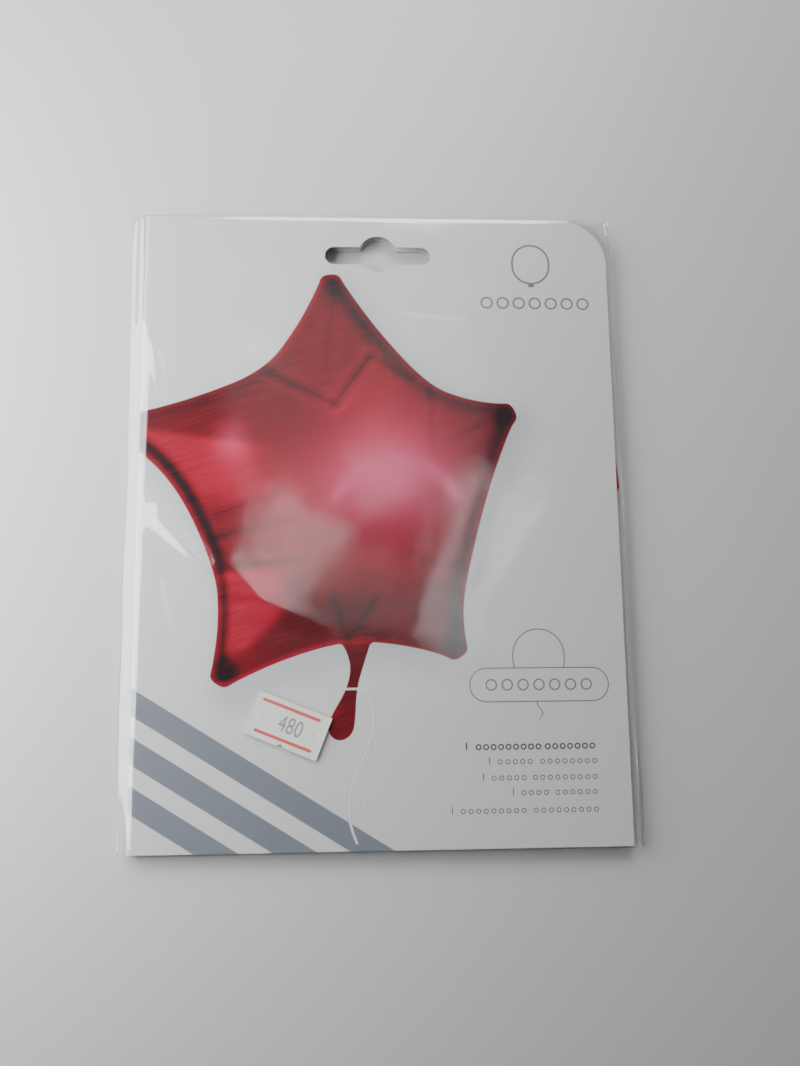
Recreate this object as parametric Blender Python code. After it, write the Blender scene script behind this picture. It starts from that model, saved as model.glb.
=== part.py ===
"""Packaged foil balloon.

A clear film bag holds a printed card, folded once at its left edge. The foil balloon lies
folded flat between the card's two panels, and a price label is stuck on the bag's front.

The pack lies on its back: +X is right, +Y runs up to the hang slot, +Z points off the table.
The origin is the centre of the bag's underside.
"""

import math

import bmesh
import bpy
from mathutils import Vector
from mathutils.geometry import delaunay_2d_cdt, intersect_point_line

MM = 0.001

# Clearance between pieces that lie on each other
LAY_GAP = 0.3 * MM

# Card
CARD_WIDTH = 140.0 * MM
CARD_HEIGHT = 186.0 * MM
CARD_THICKNESS = 0.35 * MM
CARD_CORNER_RADIUS = 14.0 * MM

# Hang slot, punched through the card and the film together
SLOT_WIDTH = 32.0 * MM
SLOT_HEIGHT = 5.8 * MM
SLOT_HUMP_RADIUS = 5.8 * MM
SLOT_HUMP_RISE = 3.5 * MM
SLOT_TOP_MARGIN = 5.8 * MM

# Folded balloon: two plies of foil with the air pressed out, folded back and forth
FOIL_THICKNESS = 0.2 * MM
FOIL_RUNS = 4
FOIL_MARGIN_LEFT = 11.5 * MM
FOIL_MARGIN_RIGHT = 6.5 * MM
FOIL_MARGIN_BOTTOM = 15.0 * MM
FOIL_MARGIN_TOP = 33.0 * MM
FOIL_TIP_REACH = 1.0 * MM
FOIL_TIP_HEIGHT = 102.0 * MM
FOIL_TIP_LEAN = 0.09
FOIL_TIP_UNDERCUT = 12.0 * MM

# Soft rise of the front over the balloon
BULGE_HEIGHT = 2.0 * MM

# Film bag
FILM_THICKNESS = 0.05 * MM
FILM_FOLD_RADIUS = 0.6 * MM
MARGIN_LEFT = 3.6 * MM
MARGIN_RIGHT = 2.5 * MM
WELD_WIDTH = 0.6 * MM
WELD_THICKNESS = 0.2 * MM
WAVE_HEIGHT = 0.4 * MM
WAVE_COUNT = 9

# Price label
LABEL_WIDTH = 21.8 * MM
LABEL_HEIGHT = 12.4 * MM
LABEL_THICKNESS = 0.1 * MM
LABEL_FROM_LEFT = 43.8 * MM
LABEL_FROM_BOTTOM = 34.2 * MM
LABEL_TURN = math.radians(-21.8)
LABEL_CORNER_RADIUS = 0.5 * MM
LABEL_STRIPE_WIDTH = 0.7 * MM
LABEL_STRIPE_LENGTH = 19.0 * MM
LABEL_STRIPE_SPACING = 9.0 * MM

# Printed star: its middle, its turn and the reach of its five arms from the top round clockwise
STAR_X = -10.0 * MM
STAR_Y = 3.0 * MM
STAR_TURN = math.radians(3.0)
STAR_ARMS = (72.0 * MM, 59.0 * MM, 57.0 * MM, 61.0 * MM, 66.0 * MM)
STAR_NOTCH = 42.0 * MM
STAR_TIP_RADIUS = 3.0 * MM
STAR_NOTCH_RADIUS = 8.0 * MM

# Printed neck of the star: width and distance below the notch, from the star down to its end
NECK_TOP_WIDTH = 11.0 * MM
NECK_TIE_WIDTH = 3.4 * MM
NECK_TIE_DROP = 10.0 * MM
NECK_TAIL_WIDTH = 7.6 * MM
NECK_LENGTH = 26.0 * MM

# Printed bands across the lower left corner
BAND_COUNT = 3
BAND_WIDTH = 6.4 * MM
BAND_PITCH = 11.2 * MM
BAND_START = 9.6 * MM
BAND_TURN = math.radians(31.6)

# Smoothness of the meshes
SHEET_STEP = 14.0 * MM
LABEL_STEP = 6.0 * MM
TURN_STEPS = 6
ARC_STEPS = 6
FILM_ROWS = 36

# A place this close to a straight side counts as on it
SIDE_ROUNDING = 1.0e-4 * MM

# Levels of the layers, from the table up
CARD_BASE = FILM_THICKNESS + LAY_GAP
FOIL_PITCH = FOIL_THICKNESS + LAY_GAP
FOIL_BASE = CARD_BASE + CARD_THICKNESS + LAY_GAP
FOIL_STACK = (FOIL_RUNS - 1) * FOIL_PITCH + FOIL_THICKNESS
CARD_PITCH = CARD_THICKNESS + FOIL_STACK + 2.0 * LAY_GAP
CARD_TOP = CARD_BASE + CARD_PITCH + CARD_THICKNESS
FILM_TOP = CARD_TOP + LAY_GAP + FILM_THICKNESS

# The card lies off the middle of the bag, because the film's side margins differ
CARD_SHIFT = 0.5 * (MARGIN_LEFT - MARGIN_RIGHT)
CARD_LEFT = CARD_SHIFT - 0.5 * CARD_WIDTH
CARD_RIGHT = CARD_SHIFT + 0.5 * CARD_WIDTH
CARD_BOTTOM = -0.5 * CARD_HEIGHT
FOIL_LEFT = CARD_LEFT + FOIL_MARGIN_LEFT
FOIL_RIGHT = CARD_RIGHT - FOIL_MARGIN_RIGHT
FOIL_BOTTOM = CARD_BOTTOM + FOIL_MARGIN_BOTTOM
FOIL_TOP = 0.5 * CARD_HEIGHT - FOIL_MARGIN_TOP
SLOT_LEVEL = 0.5 * CARD_HEIGHT - SLOT_TOP_MARGIN - SLOT_HUMP_RISE - 0.5 * SLOT_HEIGHT


def clear_scene():
    """Remove every object of the scene."""
    for old in list(bpy.data.objects):
        bpy.data.objects.remove(old, do_unlink=True)


def plain_material(name, colour, roughness, metallic=0.0, alpha=1.0):
    """Return a plain Principled material."""
    material = bpy.data.materials.new(name)
    material.use_nodes = True
    shader = material.node_tree.nodes["Principled BSDF"]
    shader.inputs["Base Color"].default_value = (*colour, 1.0)
    shader.inputs["Roughness"].default_value = roughness
    shader.inputs["Metallic"].default_value = metallic
    shader.inputs["Alpha"].default_value = alpha
    return material


def arc(centre_x, centre_y, radius, start, end, steps=ARC_STEPS):
    """Return points along an arc, both ends included."""
    points = []
    for step in range(steps + 1):
        angle = start + (end - start) * step / steps
        points.append((centre_x + radius * math.cos(angle), centre_y + radius * math.sin(angle)))
    return points


def rounded(corner, before, after, radius, steps=ARC_STEPS):
    """Return the arc that rounds one corner of an outline off."""
    corner = Vector(corner)
    back = (Vector(before) - corner).normalized()
    ahead = (Vector(after) - corner).normalized()
    half = 0.5 * back.angle(ahead)
    middle = (back + ahead).normalized()
    centre = corner + middle * (radius / math.sin(half))
    first = corner + back * (radius / math.tan(half)) - centre
    turn = first.angle_signed(corner + ahead * (radius / math.tan(half)) - centre)
    start = math.atan2(first.y, first.x)
    return arc(centre.x, centre.y, radius, start, start - turn, steps)


def inside(point, outline):
    """Say whether a point lies in a closed outline."""
    x, y = point
    within = False
    for (ax, ay), (bx, by) in zip(outline, outline[1:] + outline[:1]):
        if (ay > y) != (by > y) and x < (bx - ax) * (y - ay) / (by - ay) + ax:
            within = not within
    return within


def distance(point, start, end):
    """Return how far a point lies from a straight side."""
    nearest, share = intersect_point_line(point, Vector(start), Vector(end))
    nearest = Vector(start).lerp(Vector(end), min(max(share, 0.0), 1.0))
    return (point - nearest).length


def slot_outline():
    """Return the hang slot: a long hole with round ends and a hump in its upper side."""
    end = 0.5 * SLOT_HEIGHT
    reach = 0.5 * SLOT_WIDTH - end
    hump_middle = SLOT_LEVEL + end + SLOT_HUMP_RISE - SLOT_HUMP_RADIUS
    foot = math.asin((SLOT_HUMP_RADIUS - SLOT_HUMP_RISE) / SLOT_HUMP_RADIUS)
    quarter = 0.5 * math.pi
    points = arc(reach, SLOT_LEVEL, end, -quarter, quarter)
    points += arc(0.0, hump_middle, SLOT_HUMP_RADIUS, foot, math.pi - foot)
    points += arc(-reach, SLOT_LEVEL, end, quarter, 3.0 * quarter)
    return [(CARD_SHIFT + x, y) for x, y in points]


def star_outline():
    """Return the printed star's outline, in the card's own frame."""
    corners = []
    for index, arm in enumerate(STAR_ARMS):
        angle = 0.5 * math.pi + STAR_TURN - index * math.tau / len(STAR_ARMS)
        notch = angle - math.pi / len(STAR_ARMS)
        corners.append((STAR_X + arm * math.cos(angle), STAR_Y + arm * math.sin(angle)))
        corners.append((STAR_X + STAR_NOTCH * math.cos(notch), STAR_Y + STAR_NOTCH * math.sin(notch)))
    outline = []
    for index, corner in enumerate(corners):
        before = corners[index - 1]
        after = corners[(index + 1) % len(corners)]
        radius = STAR_NOTCH_RADIUS if index % 2 else STAR_TIP_RADIUS
        outline += rounded(corner, before, after, radius)
    return outline


def neck_outline():
    """Return the printed neck and tail, which hang from the star's lowest notch."""
    angle = STAR_TURN - 0.5 * math.pi
    root = Vector((STAR_X, STAR_Y)) + STAR_NOTCH * Vector((math.cos(angle), math.sin(angle)))
    down = Vector((math.cos(angle - STAR_TURN * 3.0), math.sin(angle - STAR_TURN * 3.0)))
    side = Vector((-down.y, down.x))
    tail = 0.5 * NECK_TAIL_WIDTH
    stations = (
        (-tail, 0.5 * NECK_TOP_WIDTH),
        (NECK_TIE_DROP, 0.5 * NECK_TIE_WIDTH),
        (NECK_LENGTH - 2.0 * tail, tail),
    )
    left = [root + down * drop - side * half for drop, half in stations]
    right = [root + down * drop + side * half for drop, half in reversed(stations)]
    end = root + down * (NECK_LENGTH - tail)
    heading = math.atan2(-side.y, -side.x)
    bottom = arc(end.x, end.y, tail, heading, heading + math.pi)
    return [tuple(point) for point in left] + bottom + [tuple(point) for point in right]


def band_outlines():
    """Return the straight bands that cross the card's lower left corner."""
    outlines = []
    corner_x = -0.5 * CARD_WIDTH
    corner_y = -0.5 * CARD_HEIGHT
    for index in range(BAND_COUNT):
        near = BAND_START + index * BAND_PITCH
        far = near + BAND_WIDTH
        outlines.append([
            (corner_x, corner_y + near / math.cos(BAND_TURN)),
            (corner_x + near / math.sin(BAND_TURN), corner_y),
            (corner_x + far / math.sin(BAND_TURN), corner_y),
            (corner_x, corner_y + far / math.cos(BAND_TURN)),
        ])
    return outlines


def cut_sheet(outline, holes, fields, lines, step):
    """Cut a flat sheet into triangles.

    The outline bounds the sheet, holes go through it, each field is an outline printed on it,
    and lines are where it will bend. Returns points, triangles and each triangle's field, which
    counts from 0 and is the number of fields on the bare sheet.
    """
    points = []
    edges = []
    rims = [side for loop in [outline] + holes for side in zip(loop, loop[1:] + loop[:1])]
    sides = rims + lines + [side for loop in fields for side in zip(loop, loop[1:] + loop[:1])]
    for start, end in sides:
        first = len(points)
        count = max(1, round((Vector(end) - Vector(start)).length / step))
        points += [Vector(start).lerp(Vector(end), i / count) for i in range(count + 1)]
        edges += [(first + i, first + i + 1) for i in range(count)]
    low_x = min(x for x, y in outline)
    low_y = min(y for x, y in outline)
    columns = round((max(x for x, y in outline) - low_x) / step)
    rows = round((max(y for x, y in outline) - low_y) / step)
    for column in range(columns + 1):
        for row in range(rows + 1):
            spot = Vector((low_x + (column + 0.5) * step, low_y + (row + 0.5) * step))
            within = inside(spot, outline) and not any(inside(spot, hole) for hole in holes)
            if within and all(distance(spot, *side) > 0.2 * step for side in sides):
                points.append(spot)
    flat, _, faces, _, _, _ = delaunay_2d_cdt(points, edges, [], 0, SIDE_ROUNDING)
    triangles = []
    numbers = []
    for face in faces:
        middle = sum((flat[i] for i in face), Vector((0.0, 0.0))) / len(face)
        on_rim = any(distance(middle, *side) < SIDE_ROUNDING for side in rims)
        if on_rim or not inside(middle, outline) or any(inside(middle, hole) for hole in holes):
            continue
        hits = [number for number, field in enumerate(fields) if inside(middle, field)]
        triangles.append(face)
        numbers.append(hits[-1] if hits else len(fields))
    return flat, triangles, numbers


def sheet_object(name, sheet, place, thickness, materials, slots):
    """Make one sheet solid: bend the cut sheet into place and give it its thickness.

    place takes a flat point to its place in space. slots gives each field's material number,
    and the last material is the bare sheet's.
    """
    flat, triangles, numbers = sheet
    mesh = bpy.data.meshes.new(name)
    shape = bmesh.new()
    corners = [shape.verts.new(place(x, y)) for x, y in flat]
    for face, number in zip(triangles, numbers):
        made = shape.faces.new([corners[i] for i in face])
        made.material_index = slots[number]
    loose = [corner for corner in shape.verts if not corner.link_faces]
    bmesh.ops.delete(shape, geom=loose, context="VERTS")
    shape.to_mesh(mesh)
    shape.free()
    for material in materials:
        mesh.materials.append(material)
    made = bpy.data.objects.new(name, mesh)
    bpy.context.scene.collection.objects.link(made)
    wall = made.modifiers.new("thickness", "SOLIDIFY")
    wall.thickness = thickness
    wall.offset = 0.0
    wall.material_offset = len(materials)
    wall.material_offset_rim = len(materials)
    return made


def bulge(x, y):
    """Return how far the soft balloon lifts the front at a place, nothing at the card's edges."""
    across = (x - CARD_LEFT - 0.5 * CARD_PITCH) / (CARD_WIDTH - 0.5 * CARD_PITCH)
    along = y / CARD_HEIGHT + 0.5
    if not (0.0 < across < 1.0 and 0.0 < along < 1.0):
        return 0.0
    return BULGE_HEIGHT * math.sin(math.pi * across) * math.sin(math.pi * along)


def zigzag(length, left, right, base, pitch, runs):
    """Return x and z at a length along a strip folded back and forth between left and right.

    The first run starts at the right on the lowest level, and the first and last runs may go on
    past their turns.
    """
    radius = 0.5 * pitch
    straight = right - left - pitch
    stride = straight + math.pi * radius
    run = min(max(int(length // stride), 0), runs - 1)
    along = length - run * stride
    level = base + run * pitch
    start, heading = (right - radius, -1.0) if run % 2 == 0 else (left + radius, 1.0)
    if along <= straight or run == runs - 1:
        return start + heading * along, level
    angle = (along - straight) / radius
    turn_x = start + heading * (straight + radius * math.sin(angle))
    return turn_x, level + radius * (1.0 - math.cos(angle))


def turn_lines(left, right, pitch, runs, low, high):
    """Return the lines along which a folded strip bends."""
    straight = right - left - pitch
    stride = straight + 0.5 * math.pi * pitch
    lines = []
    for run in range(runs - 1):
        for step in range(TURN_STEPS + 1):
            length = run * stride + straight + 0.5 * math.pi * pitch * step / TURN_STEPS
            lines.append(((length, low), (length, high)))
    return lines


def make_bag(film):
    """Make the film bag: a flat tube round the card, welded down both sides, with a hang slot."""
    half_width = 0.5 * (CARD_WIDTH + MARGIN_LEFT + MARGIN_RIGHT)
    corner_room = (1.0 - math.sqrt(0.5)) * FILM_FOLD_RADIUS
    half_height = 0.5 * CARD_HEIGHT + LAY_GAP + FILM_THICKNESS + corner_room
    weld_level = 0.5 * FILM_TOP
    flat_left = CARD_LEFT - LAY_GAP
    flat_right = CARD_RIGHT + LAY_GAP

    def openness(x):
        """Return 1 over the card and 0 at the side welds, with a soft slope between."""
        past = max(flat_left - x, 0.0) / (flat_left + half_width - WELD_WIDTH)
        past += max(x - flat_right, 0.0) / (half_width - WELD_WIDTH - flat_right)
        return 0.5 + 0.5 * math.cos(math.pi * min(past, 1.0))

    def section(x):
        """Return the loop round the bag at one place across it, as lower and upper halves."""
        part = openness(x)
        wave = (1.0 - part) * WAVE_HEIGHT
        low = (weld_level - 0.5 * WELD_THICKNESS) * (1.0 - part)
        high = (FILM_TOP - weld_level - 0.5 * WELD_THICKNESS) * part + weld_level
        high += 0.5 * WELD_THICKNESS
        radius = min(FILM_FOLD_RADIUS, 0.45 * (high - low))
        reach = half_height - radius
        quarter = 0.5 * math.pi
        halves = []
        for level, side in ((low + radius, -1.0), (high - radius, 1.0)):
            outline = arc(-reach, 0.0, radius, 2.0 * quarter, quarter, ARC_STEPS // 2)
            rows = [(-reach + 2.0 * reach * row / FILM_ROWS, radius) for row in range(1, FILM_ROWS)]
            outline += rows + arc(reach, 0.0, radius, quarter, 0.0, ARC_STEPS // 2)
            half = []
            for y, z in outline:
                lift = wave * math.sin(math.tau * WAVE_COUNT * (y / CARD_HEIGHT + 0.5))
                if side > 0.0:
                    lift += bulge(x, y)
                half.append(Vector((x, y, level + side * z + lift)))
            halves.append(half)
        return halves

    places = [-half_width, -half_width + WELD_WIDTH]
    places += [places[-1] + (flat_left - places[-1]) * step / 4 for step in range(1, 4)]
    columns = round(CARD_WIDTH / SHEET_STEP)
    places += [flat_left + (flat_right - flat_left) * step / columns for step in range(columns + 1)]
    places += [flat_right + (half_width - WELD_WIDTH - flat_right) * step / 4 for step in range(1, 5)]
    places.append(half_width)

    shape = bmesh.new()
    rings = []
    for x in places:
        lower, upper = section(x)
        rings.append([shape.verts.new(point) for point in lower + upper[::-1]])
    for ring, following in zip(rings, rings[1:]):
        for i in range(len(ring)):
            j = (i + 1) % len(ring)
            shape.faces.new((ring[i], ring[j], following[j], following[i]))
    for ring in (rings[0], rings[-1]):
        for i in range(len(ring) // 2 - 1):
            shape.faces.new((ring[i], ring[i + 1], ring[-2 - i], ring[-1 - i]))
    bmesh.ops.recalc_face_normals(shape, faces=shape.faces)
    mesh = bpy.data.meshes.new("bag")
    shape.to_mesh(mesh)
    shape.free()
    mesh.materials.append(film)
    bag = bpy.data.objects.new("bag", mesh)
    bpy.context.scene.collection.objects.link(bag)
    wall = bag.modifiers.new("film", "SOLIDIFY")
    wall.thickness = FILM_THICKNESS
    wall.offset = -1.0
    wall.use_even_offset = True
    punch = bag.modifiers.new("hang slot", "BOOLEAN")
    punch.operation = "DIFFERENCE"
    punch.solver = "EXACT"
    punch.object = make_slot_punch()


def make_slot_punch():
    """Make the cutter for the hang slot in the film."""
    reach = FILM_TOP + BULGE_HEIGHT
    shape = bmesh.new()
    face = shape.faces.new([shape.verts.new((x, y, -reach)) for x, y in slot_outline()])
    sides = bmesh.ops.extrude_face_region(shape, geom=[face])
    top = [item for item in sides["geom"] if isinstance(item, bmesh.types.BMVert)]
    bmesh.ops.translate(shape, verts=top, vec=(0.0, 0.0, 3.0 * reach))
    bmesh.ops.recalc_face_normals(shape, faces=shape.faces)
    mesh = bpy.data.meshes.new("slot_punch")
    shape.to_mesh(mesh)
    shape.free()
    punch = bpy.data.objects.new("slot_punch", mesh)
    bpy.context.scene.collection.objects.link(punch)
    punch.hide_render = True
    punch.display_type = "WIRE"
    return punch


def make_card(board, red, slate):
    """Make the card: one board folded round the balloon, printed outside, with both slots."""
    left = CARD_LEFT + 0.5 * CARD_THICKNESS
    straight = CARD_RIGHT - left - 0.5 * CARD_PITCH
    right = CARD_RIGHT + 0.5 * CARD_PITCH
    front = straight + 0.5 * math.pi * CARD_PITCH
    end = front + straight
    fold = 0.5 * end
    top = 0.5 * CARD_HEIGHT
    radius = CARD_CORNER_RADIUS

    def unfolded(x):
        """Return the place along the flat board of a place across the front panel."""
        return end - (CARD_RIGHT - x)

    def printed(outline):
        """Lay an outline from the card's frame on the flat board, at most as far as the fold."""
        return [(max(unfolded(CARD_SHIFT + x), fold), y) for x, y in outline]

    corners = arc(end - radius, top - radius, radius, 0.0, 0.5 * math.pi)
    corners += arc(radius, top - radius, radius, 0.5 * math.pi, math.pi)
    outline = [(0.0, -top), (end, -top)] + corners
    slot = [(unfolded(x), y) for x, y in slot_outline()]
    mirrored = [(end - x, y) for x, y in reversed(slot)]
    fields = [printed(band) for band in band_outlines()]
    fields += [printed(neck_outline()), printed(star_outline())]
    lines = turn_lines(left, right, CARD_PITCH, 2, -top, top)
    sheet = cut_sheet(outline, [slot, mirrored], fields, lines, SHEET_STEP)

    def place(length, y):
        """Fold the flat board, and let the front panel follow the balloon's bulge."""
        level = CARD_BASE + 0.5 * CARD_THICKNESS
        x, z = zigzag(length, left, right, level, CARD_PITCH, 2)
        lift = bulge(x, y) if length > front else 0.0
        return (x, y, z + lift)

    slots = [1] * BAND_COUNT + [0, 0, 2]
    return sheet_object("card", sheet, place, CARD_THICKNESS, (red, slate, board), slots)


def make_balloon(foil):
    """Make the folded balloon: foil folded back and forth, one corner past the card's edge."""
    straight = FOIL_RIGHT - FOIL_LEFT - FOIL_PITCH
    stride = straight + 0.5 * math.pi * FOIL_PITCH
    last = (FOIL_RUNS - 1) * stride
    last_left = FOIL_LEFT + 0.5 * FOIL_PITCH
    tip_x = CARD_RIGHT + FOIL_TIP_REACH
    tip_y = CARD_BOTTOM + FOIL_TIP_HEIGHT
    edge_x = tip_x - FOIL_TIP_LEAN * (FOIL_TOP - tip_y)
    under_x = tip_x - FOIL_TIP_UNDERCUT
    under_y = tip_y - FOIL_TIP_UNDERCUT
    outline = [
        (0.0, FOIL_BOTTOM),
        (last, FOIL_BOTTOM),
        (last + 0.5 * straight, FOIL_BOTTOM),
        (last + under_x - last_left, under_y),
        (last + tip_x - last_left, tip_y),
        (last + edge_x - last_left, FOIL_TOP),
        (0.0, FOIL_TOP),
    ]
    lines = turn_lines(FOIL_LEFT, FOIL_RIGHT, FOIL_PITCH, FOIL_RUNS, FOIL_BOTTOM, FOIL_TOP)
    sheet = cut_sheet(outline, [], [], lines, SHEET_STEP)
    base = FOIL_BASE + 0.5 * FOIL_THICKNESS

    def place(length, y):
        """Fold the foil, each layer lifted by its share of the bulge."""
        x, z = zigzag(length, FOIL_LEFT, FOIL_RIGHT, base, FOIL_PITCH, FOIL_RUNS)
        share = (z - base) / ((FOIL_RUNS - 1) * FOIL_PITCH)
        return (x, y, z + share * bulge(x, y))

    return sheet_object("folded_balloon", sheet, place, FOIL_THICKNESS, (foil,), [0])


def make_label(paper, red):
    """Make the price label: a small paper rectangle with two printed stripes."""
    half_x = 0.5 * LABEL_WIDTH
    half_y = 0.5 * LABEL_HEIGHT
    radius = LABEL_CORNER_RADIUS
    quarter = 0.5 * math.pi
    outline = []
    for index, (side_x, side_y) in enumerate(((1, 1), (-1, 1), (-1, -1), (1, -1))):
        middle_x = side_x * (half_x - radius)
        middle_y = side_y * (half_y - radius)
        start = index * quarter
        outline += arc(middle_x, middle_y, radius, start, start + quarter, ARC_STEPS // 2)
    stripes = []
    for side in (-1, 1):
        level = side * 0.5 * LABEL_STRIPE_SPACING
        low = level - 0.5 * LABEL_STRIPE_WIDTH
        high = level + 0.5 * LABEL_STRIPE_WIDTH
        reach = 0.5 * LABEL_STRIPE_LENGTH
        stripes.append([(-reach, low), (reach, low), (reach, high), (-reach, high)])
    sheet = cut_sheet(outline, [], stripes, [], LABEL_STEP)
    level = FILM_TOP + LAY_GAP + 0.5 * LABEL_THICKNESS
    cosine = math.cos(LABEL_TURN)
    sine = math.sin(LABEL_TURN)

    def place(across, along):
        """Turn the label and lay it on the film."""
        x = CARD_LEFT + LABEL_FROM_LEFT + across * cosine - along * sine
        y = CARD_BOTTOM + LABEL_FROM_BOTTOM + across * sine + along * cosine
        return (x, y, level + bulge(x, y))

    return sheet_object("price_label", sheet, place, LABEL_THICKNESS, (red, paper), [0, 0, 1])


def build():
    """Build the whole pack."""
    clear_scene()
    film = plain_material("clear_film", (0.92, 0.94, 0.95), 0.08, alpha=0.2)
    board = plain_material("white_board", (0.74, 0.73, 0.70), 0.45)
    star_red = plain_material("printed_red", (0.48, 0.02, 0.05), 0.4)
    slate = plain_material("printed_slate", (0.24, 0.27, 0.31), 0.45)
    foil = plain_material("red_foil", (0.62, 0.02, 0.04), 0.22, metallic=1.0)
    paper = plain_material("label_paper", (0.84, 0.83, 0.80), 0.6)
    stripe = plain_material("label_red", (0.66, 0.08, 0.07), 0.6)
    make_bag(film)
    make_card(board, star_red, slate)
    make_balloon(foil)
    make_label(paper, stripe)


build()
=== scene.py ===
"""Flat retail pack of a foil balloon, dressed for rendering.

A clear film bag holds a printed card, folded once at its left edge, round a folded red foil
balloon. A small price label is stuck on the bag's front. The pack lies on its back on a pale table.
"""

import math

import bmesh
import bpy
import numpy as np
from bpy.props import FloatProperty, FloatVectorProperty, IntProperty, PointerProperty, StringProperty
from mathutils import Euler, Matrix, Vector


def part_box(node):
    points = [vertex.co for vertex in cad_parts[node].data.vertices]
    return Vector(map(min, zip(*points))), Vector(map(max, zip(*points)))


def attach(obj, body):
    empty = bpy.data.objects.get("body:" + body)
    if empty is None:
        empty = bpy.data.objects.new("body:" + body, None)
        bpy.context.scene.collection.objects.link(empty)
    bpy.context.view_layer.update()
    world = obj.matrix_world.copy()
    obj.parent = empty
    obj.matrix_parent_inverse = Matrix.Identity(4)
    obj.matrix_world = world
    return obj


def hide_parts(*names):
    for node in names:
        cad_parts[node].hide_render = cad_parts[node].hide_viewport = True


bl_info = {
    "name": "Foil balloon pack",
    "version": (1, 0, 0),
    "blender": (4, 5, 0),
    "location": "3D View > Sidebar > Pack",
    "description": "Builds a flat retail pack of a foil balloon: film bag, printed card, foil and label",
    "category": "Object",
}

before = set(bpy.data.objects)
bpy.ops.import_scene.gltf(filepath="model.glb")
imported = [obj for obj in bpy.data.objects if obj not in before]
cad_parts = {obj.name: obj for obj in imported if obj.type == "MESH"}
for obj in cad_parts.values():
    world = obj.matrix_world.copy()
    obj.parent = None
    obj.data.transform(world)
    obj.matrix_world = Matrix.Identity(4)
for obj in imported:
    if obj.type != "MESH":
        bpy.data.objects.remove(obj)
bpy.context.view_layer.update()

MM = 0.001
QUARTER = 0.5 * math.pi
BAG_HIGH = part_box("bag")[1]
CARD_LOW, CARD_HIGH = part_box("card")
CARD_SHIFT = 0.5 * (CARD_LOW[0] + CARD_HIGH[0])

# Front film's level over the card's edges, and how far the foil lifts its middle
EDGE_LEVEL = 3.70 * MM
BULGE_HEIGHT = BAG_HIGH[2] - EDGE_LEVEL

# Hang slot: a long hole with round ends and a round hump above its middle
SLOT_WIDTH = 32.0 * MM
SLOT_HEIGHT = 5.8 * MM
SLOT_HUMP_RADIUS = 5.8 * MM
SLOT_HUMP_RISE = 3.5 * MM
SLOT_LEVEL = 80.8 * MM
CUT_REACH = 40.0 * MM
CUT_CLEARANCE = 0.02 * MM
SHARP_ANGLE = math.radians(45.0)


def length_property(name, description, default):
    """Return a property for a size in metres."""
    return FloatProperty(name=name, description=description, default=default, unit="LENGTH", precision=5)


def colour_property(name, description, default):
    """Return a property for a linear colour."""
    return FloatVectorProperty(
        name=name, description=description, default=default, subtype="COLOR", size=3, min=0.0, max=1.0
    )


class PackCardSettings(bpy.types.PropertyGroup):
    """Sizes and colours of the printed card."""

    width: length_property("Width", "Width of the folded card", 140.0 * MM)
    height: length_property("Height", "Height of the card", 186.0 * MM)
    board: length_property("Board", "Thickness of the board", 0.35 * MM)
    pitch: length_property("Pitch", "Distance between the middles of the two panels", 2.65 * MM)
    level: length_property("Level", "Height of the card's underside off the table", 0.35 * MM)
    corner: length_property("Corner", "Radius of the round corner", 14.0 * MM)
    board_colour: colour_property("Board colour", "Coated white of the board", (0.645, 0.65, 0.645))
    slate: colour_property("Slate", "Printed bands", (0.195, 0.215, 0.25))
    line_grey: colour_property("Line grey", "Printed thin lines", (0.17, 0.19, 0.21))
    ink: colour_property("Ink", "Printed rows of rings", (0.045, 0.05, 0.06))
    star_dark: colour_property("Star dark", "Deepest shade of the printed star", (0.016, 0.008, 0.012))
    star_red: colour_property("Star red", "Lit foil in the printed star", (0.305, 0.010, 0.026))
    star_bright: colour_property("Star bright", "Brightest foil in the printed star", (0.54, 0.030, 0.072))
    star_pink: colour_property("Star pink", "Highlight of the printed star", (0.57, 0.085, 0.19))


class PackFilmSettings(bpy.types.PropertyGroup):
    """Sizes and finish of the film bag."""

    thickness: length_property("Thickness", "Thickness of the film", 0.05 * MM)
    ripple: length_property("Ripple", "Height of the soft waves in the front", 0.07 * MM)
    tint: colour_property("Tint", "Colour of light that passes the film", (0.995, 0.996, 0.996))


class PackFoilSettings(bpy.types.PropertyGroup):
    """Sizes and colour of the folded balloon."""

    thickness: length_property("Thickness", "Thickness of two plies of foil", 0.2 * MM)
    runs: IntProperty(name="Runs", description="Layers of the folded foil", default=4, min=1, max=8)
    colour: colour_property("Colour", "Red of the metallised foil", (0.78, 0.014, 0.03))


class PackLabelSettings(bpy.types.PropertyGroup):
    """Sizes and colours of the price label."""

    width: length_property("Width", "Width of the label", 21.8 * MM)
    height: length_property("Height", "Height of the label", 12.4 * MM)
    number: StringProperty(name="Number", description="Plain number printed on the label", default="480")
    paper: colour_property("Paper", "Paper of the label", (0.72, 0.72, 0.70))
    stripe: colour_property("Stripe", "Printed stripes", (0.60, 0.06, 0.05))
    digits: colour_property("Digits", "Stamped digits", (0.22, 0.22, 0.22))


class PackStageSettings(bpy.types.PropertyGroup):
    """Table, lights and camera."""

    table: colour_property("Table", "Pale table top", (0.60, 0.60, 0.60))
    lens: FloatProperty(name="Lens", description="Focal length of the camera in millimetres", default=34.09)
    windows: FloatProperty(name="Windows", description="Brightness of the two low windows", default=9.7)
    panels: FloatProperty(name="Panels", description="Brightness of the overhead panels", default=2.0)
    world: FloatProperty(name="World", description="Strength of the pale surroundings", default=0.04)


def fill(socket, value, tree):
    """Link a socket to another, or give it a plain value."""
    if isinstance(value, bpy.types.NodeSocket):
        tree.links.new(value, socket)
    else:
        socket.default_value = value


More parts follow.
